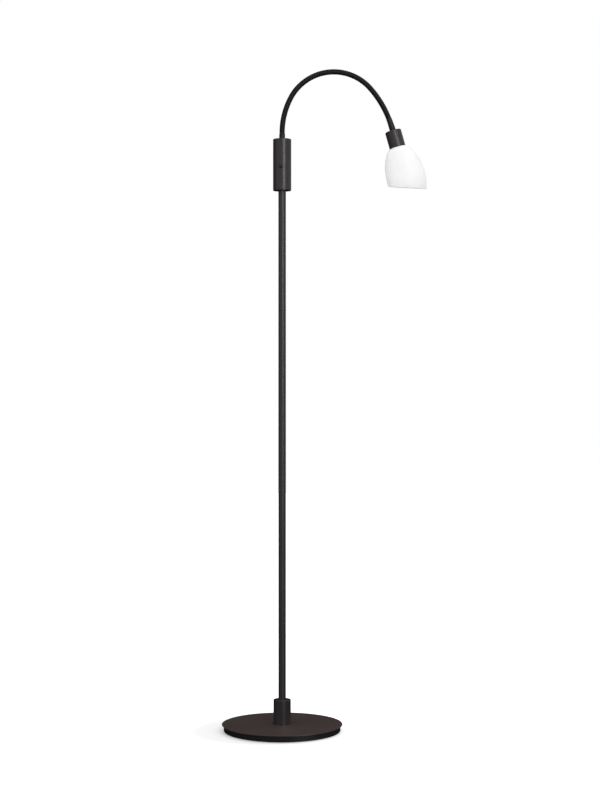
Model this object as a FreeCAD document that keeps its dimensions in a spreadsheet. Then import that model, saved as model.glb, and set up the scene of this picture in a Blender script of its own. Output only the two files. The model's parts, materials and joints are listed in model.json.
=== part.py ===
import FreeCAD, Part
import math
import os

import Sketcher

"""Gooseneck reading floor lamp, in millimetres.

The origin lies on the floor under the pole's axis, +Z is up and the lamp head
reaches out towards +X. Everything turned is drawn as an outline on its own XZ
plane, with its lowest point at its own z = 0, and then placed where it seats.
"""

Vector = FreeCAD.Vector
Placement = FreeCAD.Placement
Rotation = FreeCAD.Rotation

UP = Vector(0, 0, 1)
# a new outline's corners stand round this point until the formulas pull them to their places
ROUGH_MIDDLE = Vector(30, 30, 0)
ROUGH_REACH = Vector(20, 0, 0)

# ---------------------------------------------------------------- sizes

SIZES = (
    # base
    ("pad_diameter", 236),
    ("pad_thickness", 1.2),
    ("weight_diameter", 247),
    ("weight_thickness", 11.8),
    ("weight_edge_round", 1.2),
    ("cover_diameter", 255),
    ("cover_thickness", 2.5),
    ("cover_bevel", 1.6),
    ("recess_diameter", 62),
    ("recess_depth", 7.6),
    ("inlet_bore", 6.6),
    ("inlet_wall", 1.0),
    ("inlet_flange_diameter", 10.6),
    ("inlet_flange_thickness", 1.2),
    ("inlet_depth", 9),
    # stud that ties the pole to the base
    ("stud_diameter", 10),
    ("stud_bore", 6.4),
    ("stud_reach_up", 38),
    ("stud_reach_down", 6.8),
    ("washer_diameter", 34),
    ("washer_thickness", 1.5),
    ("stud_nut_flats", 17),
    ("stud_nut_thickness", 4.6),
    ("plug_length", 30),
    # collar round the pole's foot
    ("collar_diameter", 37),
    ("collar_length", 52),
    ("collar_round", 1.6),
    ("collar_cavity_diameter", 28),
    ("collar_cavity_height", 30),
    ("grub_diameter", 5),
    ("grub_socket", 2.5),
    ("grub_height", 40),
    # pole
    ("pole_diameter", 16),
    ("pole_wall", 1.2),
    ("pole_in_housing", 16.2),
    # switch housing
    ("housing_diameter", 38.5),
    ("housing_wall", 1.6),
    ("housing_bottom", 1143.8),
    ("housing_length", 108.7),
    ("housing_chamfer", 0.5),
    ("end_cap_thickness", 8),
    ("end_cap_inset", 0.8),
    ("lock_ring_diameter", 25),
    ("lock_ring_thickness", 6),
    ("housing_screw_diameter", 3),
    ("housing_screw_length", 5),
    # switch in the housing's side
    ("switch_above_foot", 49.2),
    ("switch_turn", 7.6),
    ("switch_body_diameter", 14),
    ("switch_body_inner", 3),
    ("switch_body_length", 12.2),
    ("switch_barrel_diameter", 6.4),
    ("switch_barrel_reach", 1.6),
    ("switch_wall", 2.2),
    ("button_diameter", 4.4),
    ("button_reach", 2.6),
    ("button_foot_diameter", 7.2),
    ("button_foot_thickness", 1.2),
    ("button_travel", 1.8),
    ("bezel_diameter", 8.6),
    ("bezel_thickness", 1.3),
    ("spring_wire", 0.5),
    ("spring_coil_diameter", 5.4),
    ("spring_turns", 5),
    ("spring_steps", 12),
    ("terminal_width", 16),
    ("terminal_depth", 10),
    ("terminal_height", 22),
    ("terminal_screw", 4),
    # flexible neck
    ("neck_diameter", 11.5),
    ("neck_valley_depth", 0.8),
    ("neck_bore", 4.8),
    ("neck_sections", 14),
    ("ribs_in_section", 6),
    ("rise_radius", 159),
    ("rise_turn", 27.5),
    ("crown_radius", 103),
    ("crown_turn", 111),
    ("fall_radius", 216),
    ("fall_turn", 19.6),
    ("nose_diameter", 6.6),
    ("nose_reach", 1.2),
    ("nose_shoulder", 2.95),
    ("nose_foot", 2.3),
    ("socket_diameter", 8.2),
    ("socket_depth", 3.1),
    ("lower_sleeve_diameter", 12.4),
    ("lower_sleeve_length", 14),
    ("neck_stub_diameter", 8),
    ("neck_stub_length", 15),
    ("neck_nut_flats", 13),
    ("neck_nut_thickness", 5),
    ("upper_sleeve_diameter", 13.4),
    ("upper_sleeve_length", 29),
    ("upper_sleeve_turn", 6.2),
    ("upper_sleeve_stops", 8),
    ("upper_stub_diameter", 9),
    ("upper_stub_length", 5.8),
    # lamp head
    ("cap_diameter", 34.4),
    ("cap_length", 36.6),
    ("cap_wall", 1.4),
    ("cap_round", 2.6),
    ("cap_nut_flats", 14),
    ("cap_nut_thickness", 4.6),
    ("holder_diameter", 28),
    ("holder_below_cap", 14),
    ("holder_collar_diameter", 31.2),
    ("holder_collar_thickness", 2.7),
    ("holder_bore", 16.6),
    ("holder_floor", 18.2),
    ("contact_diameter", 6),
    ("contact_reach", 1.4),
    ("shell_wall", 0.7),
    ("shell_length", 19),
    ("bulb_base_diameter", 14),
    ("bulb_base_length", 24),
    ("bulb_tip_diameter", 5),
    ("bulb_tip_length", 2.4),
    ("globe_diameter", 45),
    ("globe_length", 54),
    ("globe_neck_length", 20),
    ("globe_neck_share", 0.86),
    ("globe_wall", 1.0),
    ("ring_diameter", 32),
    ("ring_thickness", 3.4),
    # glass shade
    ("shade_wall", 2.5),
    ("shade_top_diameter", 34.4),
    ("shade_shoulder_angle", 62.3),
    ("shade_shoulder_radius", 24.1),
    ("shade_flank_angle", 30),
    ("shade_flank_radius", 104),
    ("shade_belly_angle", 12),
    ("shade_belly_radius", 135),
    ("shade_skirt_radius", 85),
    ("shade_skirt_angle", 24),
    ("shade_axis_length", 89),
    ("shade_cut_angle", 19.8),
    ("shade_turn", 20),
    # clearances
    ("fit_gap", 0.05),
    ("thread_gap", 0.1),
    ("seat_gap", 0.3),
    # how far a cutting form runs out of the piece it cuts
    ("cut_overrun", 1),
)


def fill_sheet(doc):
    """Write each size as plain text in its own named cell."""
    sheet = doc.addObject("Spreadsheet::Sheet", "Sizes")
    for row, (name, value) in enumerate(SIZES, start=1):
        sheet.set(f"A{row}", name)
        sheet.set(f"B{row}", str(value))
        sheet.setAlias(f"B{row}", name)
    doc.recompute()
    return sheet


class Sizes:
    """Reads the sheet's named cells as plain numbers."""

    def __init__(self, sheet):
        self.sheet = sheet

    def __getattr__(self, name):
        return float(self.sheet.get(name))


def formula(text):
    """Point each size's name in a formula at its cell."""
    words = text.replace("(", "( ").replace(")", " )").split()
    names = {name for name, _ in SIZES}
    return " ".join("Sizes." + word if word in names else word for word in words)


# ---------------------------------------------------------------- sketches and features


def sketch_on(body, role, name):
    """A new sketch on one of the body's own origin planes."""
    sketch = body.newObject("Sketcher::SketchObject", name)
    plane = next(item for item in body.Origin.OriginFeatures if item.Role == role)
    sketch.AttachmentSupport = [(plane, "")]
    sketch.MapMode = "FlatFace"
    return sketch


def hold_point(sketch, line, end, across, up):
    """Hold one end of a sketch line at two formulas; "0" holds it on the axis."""
    spot = sketch.getPoint(line, end)
    for kind, text, axis, value in (
        ("DistanceX", across, -2, spot.x),
        ("DistanceY", up, -1, spot.y),
    ):
        if text == "0":
            sketch.addConstraint(Sketcher.Constraint("PointOnObject", line, end, axis))
        else:
            row = sketch.addConstraint(Sketcher.Constraint(kind, -1, 1, line, end, value))
            sketch.setExpression(f"Constraints[{row}]", formula(text))


def draw_outline(sketch, corners):
    """A closed outline of straight lines, each corner held by two formulas."""
    count = len(corners)
    turn = 360 / count
    rough = [ROUGH_MIDDLE + Rotation(UP, turn * i).multVec(ROUGH_REACH) for i in range(count)]
    for i in range(count):
        sketch.addGeometry(Part.LineSegment(rough[i], rough[(i + 1) % count]), False)
    for i in range(count):
        sketch.addConstraint(Sketcher.Constraint("Coincident", i, 2, (i + 1) % count, 1))
    for i, (across, up) in enumerate(corners):
        hold_point(sketch, i, 1, across, up)


def new_body(doc, label):
    body = doc.addObject("PartDesign::Body", label)
    body.Label = label
    return body


def turned(doc, label, corners):
    """A piece turned about its own Z axis, from corners given as (radius, height)."""
    body = new_body(doc, label)
    sketch = sketch_on(body, "XZ_Plane", label + "_outline")
    draw_outline(sketch, corners)
    turn = body.newObject("PartDesign::Revolution", label + "_turn")
    turn.Profile = sketch
    turn.ReferenceAxis = (sketch, ["V_Axis"])
    turn.Angle = 360
    doc.recompute()
    return body


def ring(doc, label, outer, inner, height):
    """A plain turned ring, from formulas for its two diameters and its height."""
    outside = f"{outer} / 2"
    inside = f"{inner} / 2"
    corners = ((inside, "0"), (outside, "0"), (outside, height), (inside, height))
    return turned(doc, label, corners)


def circular_edges(shape, radius, height):
    """Names of the shape's round edges of this radius that lie at this height."""
    names = []
    for number, edge in enumerate(shape.Edges, start=1):
        if not isinstance(edge.Curve, Part.Circle):
            continue
        same_size = abs(edge.Curve.Radius - radius) < 1e-4
        same_place = abs(edge.Curve.Center.z - height) < 1e-4
        if same_size and same_place:
            names.append(f"Edge{number}")
    return names


def dress(doc, body, kind, size, radius, height):
    """Round or bevel the round edges at one radius and height of the body's tip."""
    tip = body.Tip
    names = circular_edges(tip.Shape, radius, height)
    feature = body.newObject("PartDesign::" + kind, f"{body.Label}_{kind.lower()}_{len(body.Group)}")
    feature.Base = (tip, names)
    place = "Radius" if kind == "Fillet" else "Size"
    feature.setExpression(place, formula(size))
    doc.recompute()
    return feature


def side_hole(doc, body, diameter, height):
    """Drill a round hole along the body's own +Y, at a height above its own XY plane."""
    sketch = sketch_on(body, "XZ_Plane", f"{body.Label}_side_hole_{len(body.Group)}")
    sketch.addGeometry(Part.Circle(ROUGH_MIDDLE, UP, ROUGH_REACH.Length), False)
    row = sketch.addConstraint(Sketcher.Constraint("Diameter", 0, 2 * ROUGH_REACH.Length))
    sketch.setExpression(f"Constraints[{row}]", formula(diameter))
    hold_point(sketch, 0, 3, "0", height)
    hole = body.newObject("PartDesign::Pocket", f"{body.Label}_side_pocket_{len(body.Group)}")
    hole.Profile = sketch
    hole.Type = "ThroughAll"
    doc.recompute()
    return hole


def hex_nut(doc, label, flats, bore, thickness):
    """A hexagon nut standing on its own XY plane."""
    prism = doc.addObject("Part::Prism", label + "_hexagon")
    prism.Polygon = 6
    prism.setExpression("Circumradius", formula(f"{flats} / 2 / cos( 30 )"))
    prism.setExpression("Height", formula(thickness))
    drill = doc.addObject("Part::Cylinder", label + "_drill")
    drill.setExpression("Radius", formula(bore))
    drill.setExpression("Height", formula(thickness))
    nut = doc.addObject("Part::Cut", label)
    nut.Label = label
    nut.Base = prism
    nut.Tool = drill
    doc.recompute()
    return nut


def grub_screw(doc, label, length):
    """A headless screw along its own Z, with a hexagon socket in its top end."""
    shank = doc.addObject("Part::Cylinder", label + "_shank")
    shank.setExpression("Radius", formula("( grub_diameter - thread_gap ) / 2"))
    shank.setExpression("Height", formula(length))
    key = doc.addObject("Part::Prism", label + "_key")
    key.Polygon = 6
    key.setExpression("Circumradius", formula("grub_socket / 2 / cos( 30 )"))
    key.setExpression("Height", formula("grub_socket"))
    key.setExpression("Placement.Base.z", formula(f"{length} - grub_socket"))
    screw = doc.addObject("Part::Cut", label)
    screw.Label = label
    screw.Base = shank
    screw.Tool = key
    doc.recompute()
    return screw


def raise_to(piece, height):
    """Stand a piece on a height above the floor, on the pole's axis."""
    piece.setExpression("Placement.Base.z", formula(height))


def place_in(piece, frame, offset):
    """Place a piece a distance along the Z axis of a frame."""
    piece.Placement = frame.multiply(Placement(Vector(0, 0, offset), Rotation()))


# ---------------------------------------------------------------- base and pole

WEIGHT_TOP = "pad_thickness + weight_thickness"
BASE_TOP = "pad_thickness + weight_thickness + cover_thickness"
STUD_FOOT = "pad_thickness + recess_depth - stud_reach_down"


def make_base(doc, s):
    """Floor pad, cast weight, pressed cover and the cord's inlet bush."""
    pad = new_body(doc, "floor_pad")
    sketch = sketch_on(pad, "XY_Plane", "floor_pad_outline")
    sketch.addGeometry(Part.Circle(Vector(0, 0, 0), UP, s.pad_diameter / 2), False)
    sketch.addConstraint(Sketcher.Constraint("Coincident", 0, 3, -1, 1))
    row = sketch.addConstraint(Sketcher.Constraint("Diameter", 0, s.pad_diameter))
    sketch.setExpression(f"Constraints[{row}]", formula("pad_diameter"))
    sheet_pad = pad.newObject("PartDesign::Pad", "floor_pad_sheet")
    sheet_pad.Profile = sketch
    sheet_pad.setExpression("Length", formula("pad_thickness"))

    bore = "( stud_diameter + thread_gap * 2 ) / 2"
    weight = turned(
        doc,
        "base_weight",
        (
            ("recess_diameter / 2", "0"),
            ("weight_diameter / 2", "0"),
            ("weight_diameter / 2", "weight_thickness"),
            (bore, "weight_thickness"),
            (bore, "recess_depth"),
            ("recess_diameter / 2", "recess_depth"),
        ),
    )
    dress(doc, weight, "Fillet", "weight_edge_round", s.weight_diameter / 2, 0)
    side_hole(doc, weight, "inlet_bore + inlet_wall * 2 + thread_gap", "weight_thickness / 2")
    raise_to(weight, "pad_thickness")

    cover = ring(doc, "base_cover", "cover_diameter", "( stud_diameter + thread_gap * 2 )", "cover_thickness")
    dress(doc, cover, "Chamfer", "cover_bevel", s.cover_diameter / 2, 0)
    raise_to(cover, WEIGHT_TOP)

    bush = turned(
        doc,
        "cord_inlet_bush",
        (
            ("inlet_bore / 2", "0"),
            ("inlet_bore / 2 + inlet_wall", "0"),
            ("inlet_bore / 2 + inlet_wall", "inlet_depth"),
            ("inlet_flange_diameter / 2", "inlet_depth"),
            ("inlet_flange_diameter / 2", "inlet_depth + inlet_flange_thickness"),
            ("inlet_bore / 2", "inlet_depth + inlet_flange_thickness"),
        ),
    )
    back = s.weight_diameter / 2 + s.fit_gap - s.inlet_depth
    height = s.pad_thickness + s.weight_thickness / 2
    bush.Placement = Placement(Vector(0, back, height), Rotation(Vector(1, 0, 0), -90))
    return [pad, weight, cover, bush]


def make_pole_foot(doc, s):
    """Hollow stud, nut, washer and plug that clamp the pole, and the collar over them."""
    stud = ring(doc, "pole_stud", "stud_diameter", "stud_bore",
                "stud_reach_down + weight_thickness - recess_depth + cover_thickness + stud_reach_up")
    raise_to(stud, STUD_FOOT)

    washer = ring(doc, "stud_washer", "washer_diameter", "( stud_diameter + thread_gap * 2 )",
                  "washer_thickness")
    raise_to(washer, "pad_thickness + recess_depth - washer_thickness")

    nut = hex_nut(doc, "stud_nut", "stud_nut_flats", "stud_diameter / 2 + fit_gap", "stud_nut_thickness")
    raise_to(nut, "pad_thickness + recess_depth - washer_thickness - stud_nut_thickness")

    plug = ring(doc, "pole_plug", "( pole_diameter - pole_wall * 2 - fit_gap * 2 )",
                "( stud_diameter + fit_gap * 2 )", "plug_length")
    raise_to(plug, BASE_TOP)

    collar = turned(
        doc,
        "pole_collar",
        (
            ("collar_cavity_diameter / 2", "0"),
            ("collar_diameter / 2", "0"),
            ("collar_diameter / 2", "collar_length"),
            ("pole_diameter / 2 + thread_gap", "collar_length"),
            ("pole_diameter / 2 + thread_gap", "collar_cavity_height"),
            ("collar_cavity_diameter / 2", "collar_cavity_height"),
        ),
    )
    dress(doc, collar, "Fillet", "collar_round", s.collar_diameter / 2, s.collar_length)
    side_hole(doc, collar, "grub_diameter", "grub_height")
    raise_to(collar, BASE_TOP)

    grub = grub_screw(doc, "collar_screw", "( collar_diameter - pole_diameter ) / 2 - thread_gap * 4")
    base_top = s.pad_thickness + s.weight_thickness + s.cover_thickness
    reach = Vector(0, s.pole_diameter / 2 + s.thread_gap, base_top + s.grub_height)
    grub.Placement = Placement(reach, Rotation(Vector(1, 0, 0), -90))

    pole = ring(doc, "pole_tube", "pole_diameter", "( pole_diameter - pole_wall * 2 )",
                f"housing_bottom + pole_in_housing - ( {BASE_TOP} )")
    raise_to(pole, BASE_TOP)
    return [stud, washer, nut, plug, collar, grub, pole]


# ---------------------------------------------------------------- switch housing


def make_housing(doc, s):
    """Tube, two inset end caps, the ring that locks it to the pole, and its screws."""
    shell = ring(doc, "housing_tube", "housing_diameter", "( housing_diameter - housing_wall * 2 )",
                 "housing_length")
    for end in (0, s.housing_length):
        dress(doc, shell, "Chamfer", "housing_chamfer", s.housing_diameter / 2, end)
    hole = sketch_on(shell, "XZ_Plane", "switch_hole")
    hole.addGeometry(Part.Circle(Vector(0, s.switch_above_foot, 0), UP, s.switch_barrel_diameter / 2), False)
    row = hole.addConstraint(Sketcher.Constraint("Diameter", 0, s.switch_barrel_diameter))
    hole.setExpression(f"Constraints[{row}]", formula("switch_barrel_diameter + thread_gap * 2"))
    hold_point(hole, 0, 3, "0", "switch_above_foot")
    cut = shell.newObject("PartDesign::Pocket", "switch_pocket")
    cut.Profile = hole
    cut.Type = "ThroughAll"
    cut.Reversed = True
    doc.recompute()
    for height in ("end_cap_inset + end_cap_thickness / 2",
                   "housing_length - end_cap_inset - end_cap_thickness / 2"):
        side_hole(doc, shell, "housing_screw_diameter + thread_gap * 2", height)
    shell.Placement = Placement(Vector(0, 0, s.housing_bottom), Rotation(UP, -s.switch_turn))

    cap_outer = "( housing_diameter - housing_wall * 2 - fit_gap * 2 )"
    bottom = ring(doc, "housing_bottom_cap", cap_outer, "( pole_diameter + thread_gap )", "end_cap_thickness")
    side_hole(doc, bottom, "housing_screw_diameter", "end_cap_thickness / 2")
    bottom_height = s.housing_bottom + s.end_cap_inset
    bottom.Placement = Placement(Vector(0, 0, bottom_height), Rotation(UP, -s.switch_turn))
    top = ring(doc, "housing_top_cap", cap_outer, "( neck_stub_diameter + thread_gap )", "end_cap_thickness")
    side_hole(doc, top, "housing_screw_diameter", "end_cap_thickness / 2")
    top_height = s.housing_bottom + s.housing_length - s.end_cap_inset - s.end_cap_thickness
    top.Placement = Placement(Vector(0, 0, top_height), Rotation(UP, -s.switch_turn))

    lock = ring(doc, "pole_lock_ring", "lock_ring_diameter", "( pole_diameter + thread_gap )",
                "lock_ring_thickness")
    raise_to(lock, "housing_bottom + end_cap_inset + end_cap_thickness")

    screws = doc.addObject("Part::Feature", "housing_screws")
    screws.Label = "housing_screws"
    length = s.housing_screw_length
    radius = (s.housing_screw_diameter - s.thread_gap) / 2
    start = s.housing_diameter / 2 - s.housing_chamfer - length
    pair = []
    for height in (bottom_height + s.end_cap_thickness / 2, top_height + s.end_cap_thickness / 2):
        shank = Part.makeCylinder(radius, length, Vector(0, start, height), Vector(0, 1, 0))
        slot = Part.makeBox(radius * 2, radius, radius / 2, Vector(-radius, start + length - radius / 2, height))
        slot.translate(Vector(0, 0, -radius / 4))
        pair.append(shank.cut(slot))
    screws.Shape = Part.makeCompound(pair)
    screws.Placement = Placement(Vector(0, 0, 0), Rotation(UP, -s.switch_turn))

    terminal = doc.addObject("Part::Box", "terminal_body")
    terminal.setExpression("Length", formula("terminal_width"))
    terminal.setExpression("Width", formula("terminal_depth"))
    terminal.setExpression("Height", formula("terminal_height"))
    terminal.setExpression("Placement.Base.x", formula("0 - terminal_width / 2"))
    screw_wells = doc.addObject("Part::Cylinder", "terminal_well")
    screw_wells.setExpression("Radius", formula("terminal_screw / 2"))
    screw_wells.setExpression("Height", formula("terminal_depth / 2"))
    screw_wells.Placement = Placement(
        Vector(0, s.terminal_depth / 2, s.terminal_height / 2), Rotation(Vector(1, 0, 0), -90)
    )
    block = doc.addObject("Part::Cut", "terminal_block")
    block.Label = "terminal_block"
    block.Base = terminal
    block.Tool = screw_wells
    doc.recompute()
    inner = s.housing_diameter / 2 - s.housing_wall - s.seat_gap
    seat = math.sqrt(inner ** 2 - (s.terminal_width / 2) ** 2) - s.terminal_depth
    block.Placement = Placement(Vector(0, seat, s.housing_bottom + s.switch_above_foot), Rotation())
    return [shell, bottom, top, lock, screws, block]


def make_switch(doc, s):
    """Push switch in the housing's side: body, outside nut, return spring and button."""
    length = "switch_body_length"
    run = "( housing_diameter / 2 + switch_barrel_reach - switch_body_inner )"
    cavity = "( switch_body_diameter / 2 - switch_wall )"
    bore = "( button_diameter / 2 + seat_gap )"
    body = turned(
        doc,
        "switch_body",
        (
            ("0", "0"),
            ("switch_body_diameter / 2", "0"),
            ("switch_body_diameter / 2", length),
            ("switch_barrel_diameter / 2", length),
            ("switch_barrel_diameter / 2", run),
            (bore, run),
            (bore, f"{length} - switch_wall / 2"),
            (cavity, f"{length} - switch_wall / 2"),
            (cavity, "switch_wall"),
            ("0", "switch_wall"),
        ),
    )
    bezel = ring(doc, "switch_bezel", "bezel_diameter", "( switch_barrel_diameter + thread_gap )",
                 "bezel_thickness")
    foot = "button_foot_thickness"
    top = (
        "housing_diameter / 2 + switch_barrel_reach + button_reach - switch_body_inner"
        " - switch_body_length + switch_wall / 2 + seat_gap + button_foot_thickness"
    )
    button = turned(
        doc,
        "switch_button",
        (
            ("0", "0"),
            ("button_foot_diameter / 2", "0"),
            ("button_foot_diameter / 2", foot),
            ("button_diameter / 2", foot),
            ("button_diameter / 2", top),
            ("0", top),
        ),
    )
    height = s.housing_bottom + s.switch_above_foot
    frame = Placement(Vector(0, 0, height), Rotation(UP, -s.switch_turn)).multiply(
        Placement(Vector(0, 0, 0), Rotation(Vector(1, 0, 0), 90))
    )
    foot_start = (
        s.switch_body_inner + s.switch_body_length - s.switch_wall / 2 - s.seat_gap - s.button_foot_thickness
    )
    dress(doc, button, "Fillet", "button_diameter / 8", s.button_diameter / 2,
          s.housing_diameter / 2 + s.switch_barrel_reach + s.button_reach - foot_start)
    place_in(body, frame, s.switch_body_inner)
    place_in(bezel, frame, s.housing_diameter / 2)
    place_in(button, frame, foot_start)

    floor = s.switch_body_inner + s.switch_wall
    rise = foot_start - floor - s.spring_wire - s.thread_gap * 2
    rings = []
    steps = int(s.spring_turns * s.spring_steps)
    for step in range(steps + 1):
        share = step / steps
        turn = Placement(Vector(0, 0, rise * share), Rotation(UP, 360 * s.spring_turns * share))
        spot = Placement(Vector(s.spring_coil_diameter / 2, 0, 0), Rotation(Vector(1, 0, 0), 90))
        rings.append(circle_at(turn.multiply(spot), 0, s.spring_wire / 2))
    coil = Part.makeLoft(rings, True, True)
    spring = doc.addObject("Part::Feature", "button_spring")
    spring.Label = "button_spring"
    spring.Shape = coil
    place_in(spring, frame, floor + s.spring_wire / 2 + s.thread_gap)
    return [body, bezel, button, spring]


# ---------------------------------------------------------------- flexible neck


def neck_bends(s):
    """The neck's rest shape: (radius, turn in degrees) of its three tangent bends."""
    return (
        (s.rise_radius, s.rise_turn),
        (s.crown_radius, s.crown_turn),
        (s.fall_radius, s.fall_turn),
    )


def sleeve_bend(s):
    """The slighter bend of the sleeve beyond them: (radius, turn in degrees)."""
    return s.upper_sleeve_length / math.radians(s.upper_sleeve_turn), s.upper_sleeve_turn


def neck_length(s):
    return sum(radius * math.radians(turn) for radius, turn in neck_bends(s))


def neck_frame(s, distance):
    """Frame on the centreline of neck and sleeve: Z along it, Y square to the plane it bends in."""
    start = Vector(0, 0, s.housing_bottom + s.housing_length + s.lower_sleeve_length)
    frame = Placement(start, Rotation())
    left = distance
    for radius, turn in neck_bends(s) + (sleeve_bend(s),):
        run = min(max(left, 0), radius * math.radians(turn))
        angle = run / radius
        chord = Vector(radius * (1 - math.cos(angle)), 0, radius * math.sin(angle))
        frame = frame.multiply(Placement(chord, Rotation(Vector(0, 1, 0), math.degrees(angle))))
        left -= run
    return frame


def circle_at(frame, offset, radius):
    """A round wire square to a frame's Z axis, starting on the frame's own X axis."""
    wire = Part.Wire(Part.Circle(Vector(0, 0, 0), UP, radius).toShape())
    wire.Placement = frame.multiply(Placement(Vector(0, 0, offset), Rotation()))
    return wire


# where a rib's crest and the valley after it start and end, as shares of one rib's pitch
CREST_RUN = (0.05, 0.3)
VALLEY_RUN = (0.5, 0.85)


def ribbed_section(s, start, end):
    """One rigid length of the neck: ribs from lip to shoulder, then the nose."""
    crest = s.neck_diameter / 2
    valley = crest - s.neck_valley_depth
    count = int(s.ribs_in_section)
    pitch = (end - start) / count
    rings = [circle_at(neck_frame(s, start), 0, crest - s.seat_gap)]
    for rib in range(count):
        foot = start + rib * pitch
        for share in CREST_RUN:
            rings.append(circle_at(neck_frame(s, foot + share * pitch), 0, crest))
        if rib < count - 1:
            for share in VALLEY_RUN:
                rings.append(circle_at(neck_frame(s, foot + share * pitch), 0, valley))
    tip = neck_frame(s, end)
    rings.append(circle_at(tip, -s.nose_foot, s.nose_diameter / 2))
    rings.append(circle_at(tip, s.nose_reach, s.nose_diameter / 2))
    solid = Part.makeLoft(rings, True, True)

    stops = [start + rib * pitch for rib in range(1, count)]
    return solid.cut([neck_bore(s, start, stops, end, s.nose_reach), nose_socket(s, start)]).Solids[0]


def neck_bore(s, start, stops, end, reach):
    """The hollow to cut along the centreline, from before its start to a reach past its end."""
    radius = s.neck_bore / 2
    rings = [circle_at(neck_frame(s, start), -s.cut_overrun, radius)]
    rings += [circle_at(neck_frame(s, stop), 0, radius) for stop in stops]
    rings.append(circle_at(neck_frame(s, end), reach + s.cut_overrun, radius))
    return Part.makeLoft(rings, True, True)


def nose_socket(s, start):
    """The wider hollow to cut at a piece's lower end, where the nose below it seats."""
    length = s.socket_depth + s.cut_overrun
    socket = Part.makeCylinder(s.socket_diameter / 2, length, Vector(0, 0, -s.cut_overrun), UP)
    socket.Placement = neck_frame(s, start)
    return socket


def make_neck(doc, s):
    """The ribbed sections between the two sleeves, each free to turn on the one below."""
    sections = []
    count = int(s.neck_sections)
    step = neck_length(s) / count
    for number in range(count):
        name = f"neck_section_{number + 1:02d}"
        section = doc.addObject("Part::Feature", name)
        section.Label = name
        section.Shape = ribbed_section(s, number * step, (number + 1) * step)
        sections.append(section)

    stub = "neck_stub_length"
    shoulder = f"{stub} + end_cap_inset + lower_sleeve_length - nose_shoulder"
    lower = turned(
        doc,
        "neck_lower_sleeve",
        (
            ("neck_bore / 2", "0"),
            ("neck_stub_diameter / 2", "0"),
            ("neck_stub_diameter / 2", stub),
            ("lower_sleeve_diameter / 2", stub),
            ("lower_sleeve_diameter / 2", shoulder),
            ("nose_diameter / 2", f"{shoulder} + nose_shoulder - nose_foot"),
            ("nose_diameter / 2", f"{shoulder} + nose_shoulder + nose_reach"),
            ("neck_bore / 2", f"{shoulder} + nose_shoulder + nose_reach"),
        ),
    )
    raise_to(lower, "housing_bottom + housing_length - end_cap_inset - neck_stub_length")
    nut = hex_nut(doc, "neck_nut", "neck_nut_flats", "neck_stub_diameter / 2 + fit_gap",
                  "neck_nut_thickness")
    raise_to(nut, "housing_bottom + housing_length - end_cap_inset - end_cap_thickness - neck_nut_thickness")
    return sections + [lower, nut]


# ---------------------------------------------------------------- lamp head


def make_sleeve(doc, s, head):
    """The neck's upper sleeve: it widens along its slight bend and ends in the stub that holds the cap."""
    foot = neck_length(s)
    stops = int(s.upper_sleeve_stops)
    step = s.upper_sleeve_length / stops
    spread = (s.upper_sleeve_diameter - s.neck_diameter) / 2
    rings = [
        circle_at(neck_frame(s, foot + i * step), 0, s.neck_diameter / 2 + spread * i / stops)
        for i in range(stops + 1)
    ]
    stub_rings = [circle_at(head, offset, s.upper_stub_diameter / 2)
                  for offset in (-s.upper_stub_length, s.upper_stub_length)]
    solid = Part.makeLoft(rings, True, True).fuse(Part.makeLoft(stub_rings, True, True))
    inner_stops = [foot + i * step for i in range(1, stops)]
    bore = neck_bore(s, foot, inner_stops, foot + s.upper_sleeve_length, s.upper_stub_length)
    sleeve = doc.addObject("Part::Feature", "neck_upper_sleeve")
    sleeve.Label = "neck_upper_sleeve"
    sleeve.Shape = solid.cut([bore, nose_socket(s, foot)]).Solids[0]
    return sleeve


def make_holder(doc, s, head):
    """Cap, its nut and the lampholder, stacked along the head's axis."""
    hole = "( upper_stub_diameter / 2 + fit_gap )"
    cap = turned(
        doc,
        "lampholder_cap",
        (
            (hole, "0"),
            ("cap_diameter / 2", "0"),
            ("cap_diameter / 2", "cap_length"),
            ("cap_diameter / 2 - cap_wall", "cap_length"),
            ("cap_diameter / 2 - cap_wall", "cap_wall"),
            (hole, "cap_wall"),
        ),
    )
    dress(doc, cap, "Fillet", "cap_round", s.cap_diameter / 2, 0)
    place_in(cap, head, 0)

    nut = hex_nut(doc, "cap_nut", "cap_nut_flats", "upper_stub_diameter / 2 + fit_gap", "cap_nut_thickness")
    place_in(nut, head, s.cap_wall)

    start = "( cap_wall + cap_nut_thickness )"
    collar = f"( cap_length - holder_collar_thickness - {start} )"
    end = f"( cap_length + holder_below_cap - {start} )"
    hole = "( contact_diameter / 2 + fit_gap )"
    holder = turned(
        doc,
        "lampholder",
        (
            (hole, "0"),
            ("holder_diameter / 2", "0"),
            ("holder_diameter / 2", collar),
            ("holder_collar_diameter / 2", collar),
            ("holder_collar_diameter / 2", f"{collar} + holder_collar_thickness"),
            ("holder_diameter / 2", f"{collar} + holder_collar_thickness"),
            ("holder_diameter / 2", end),
            ("holder_bore / 2", end),
            ("holder_bore / 2", "holder_floor"),
            (hole, "holder_floor"),
        ),
    )
    holder_start = s.cap_wall + s.cap_nut_thickness
    place_in(holder, head, holder_start)

    contact = ring(doc, "centre_contact", "contact_diameter", "( contact_diameter / 3 )",
                   "holder_floor / 2 + contact_reach")
    place_in(contact, head, holder_start + s.holder_floor / 2)
    shell = ring(doc, "screw_shell", "( holder_bore - fit_gap * 2 )",
                 "( holder_bore - fit_gap * 2 - shell_wall * 2 )", "shell_length")
    place_in(shell, head, holder_start + s.holder_floor + s.contact_reach + s.seat_gap)
    return [cap, nut, holder, contact, shell]


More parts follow.
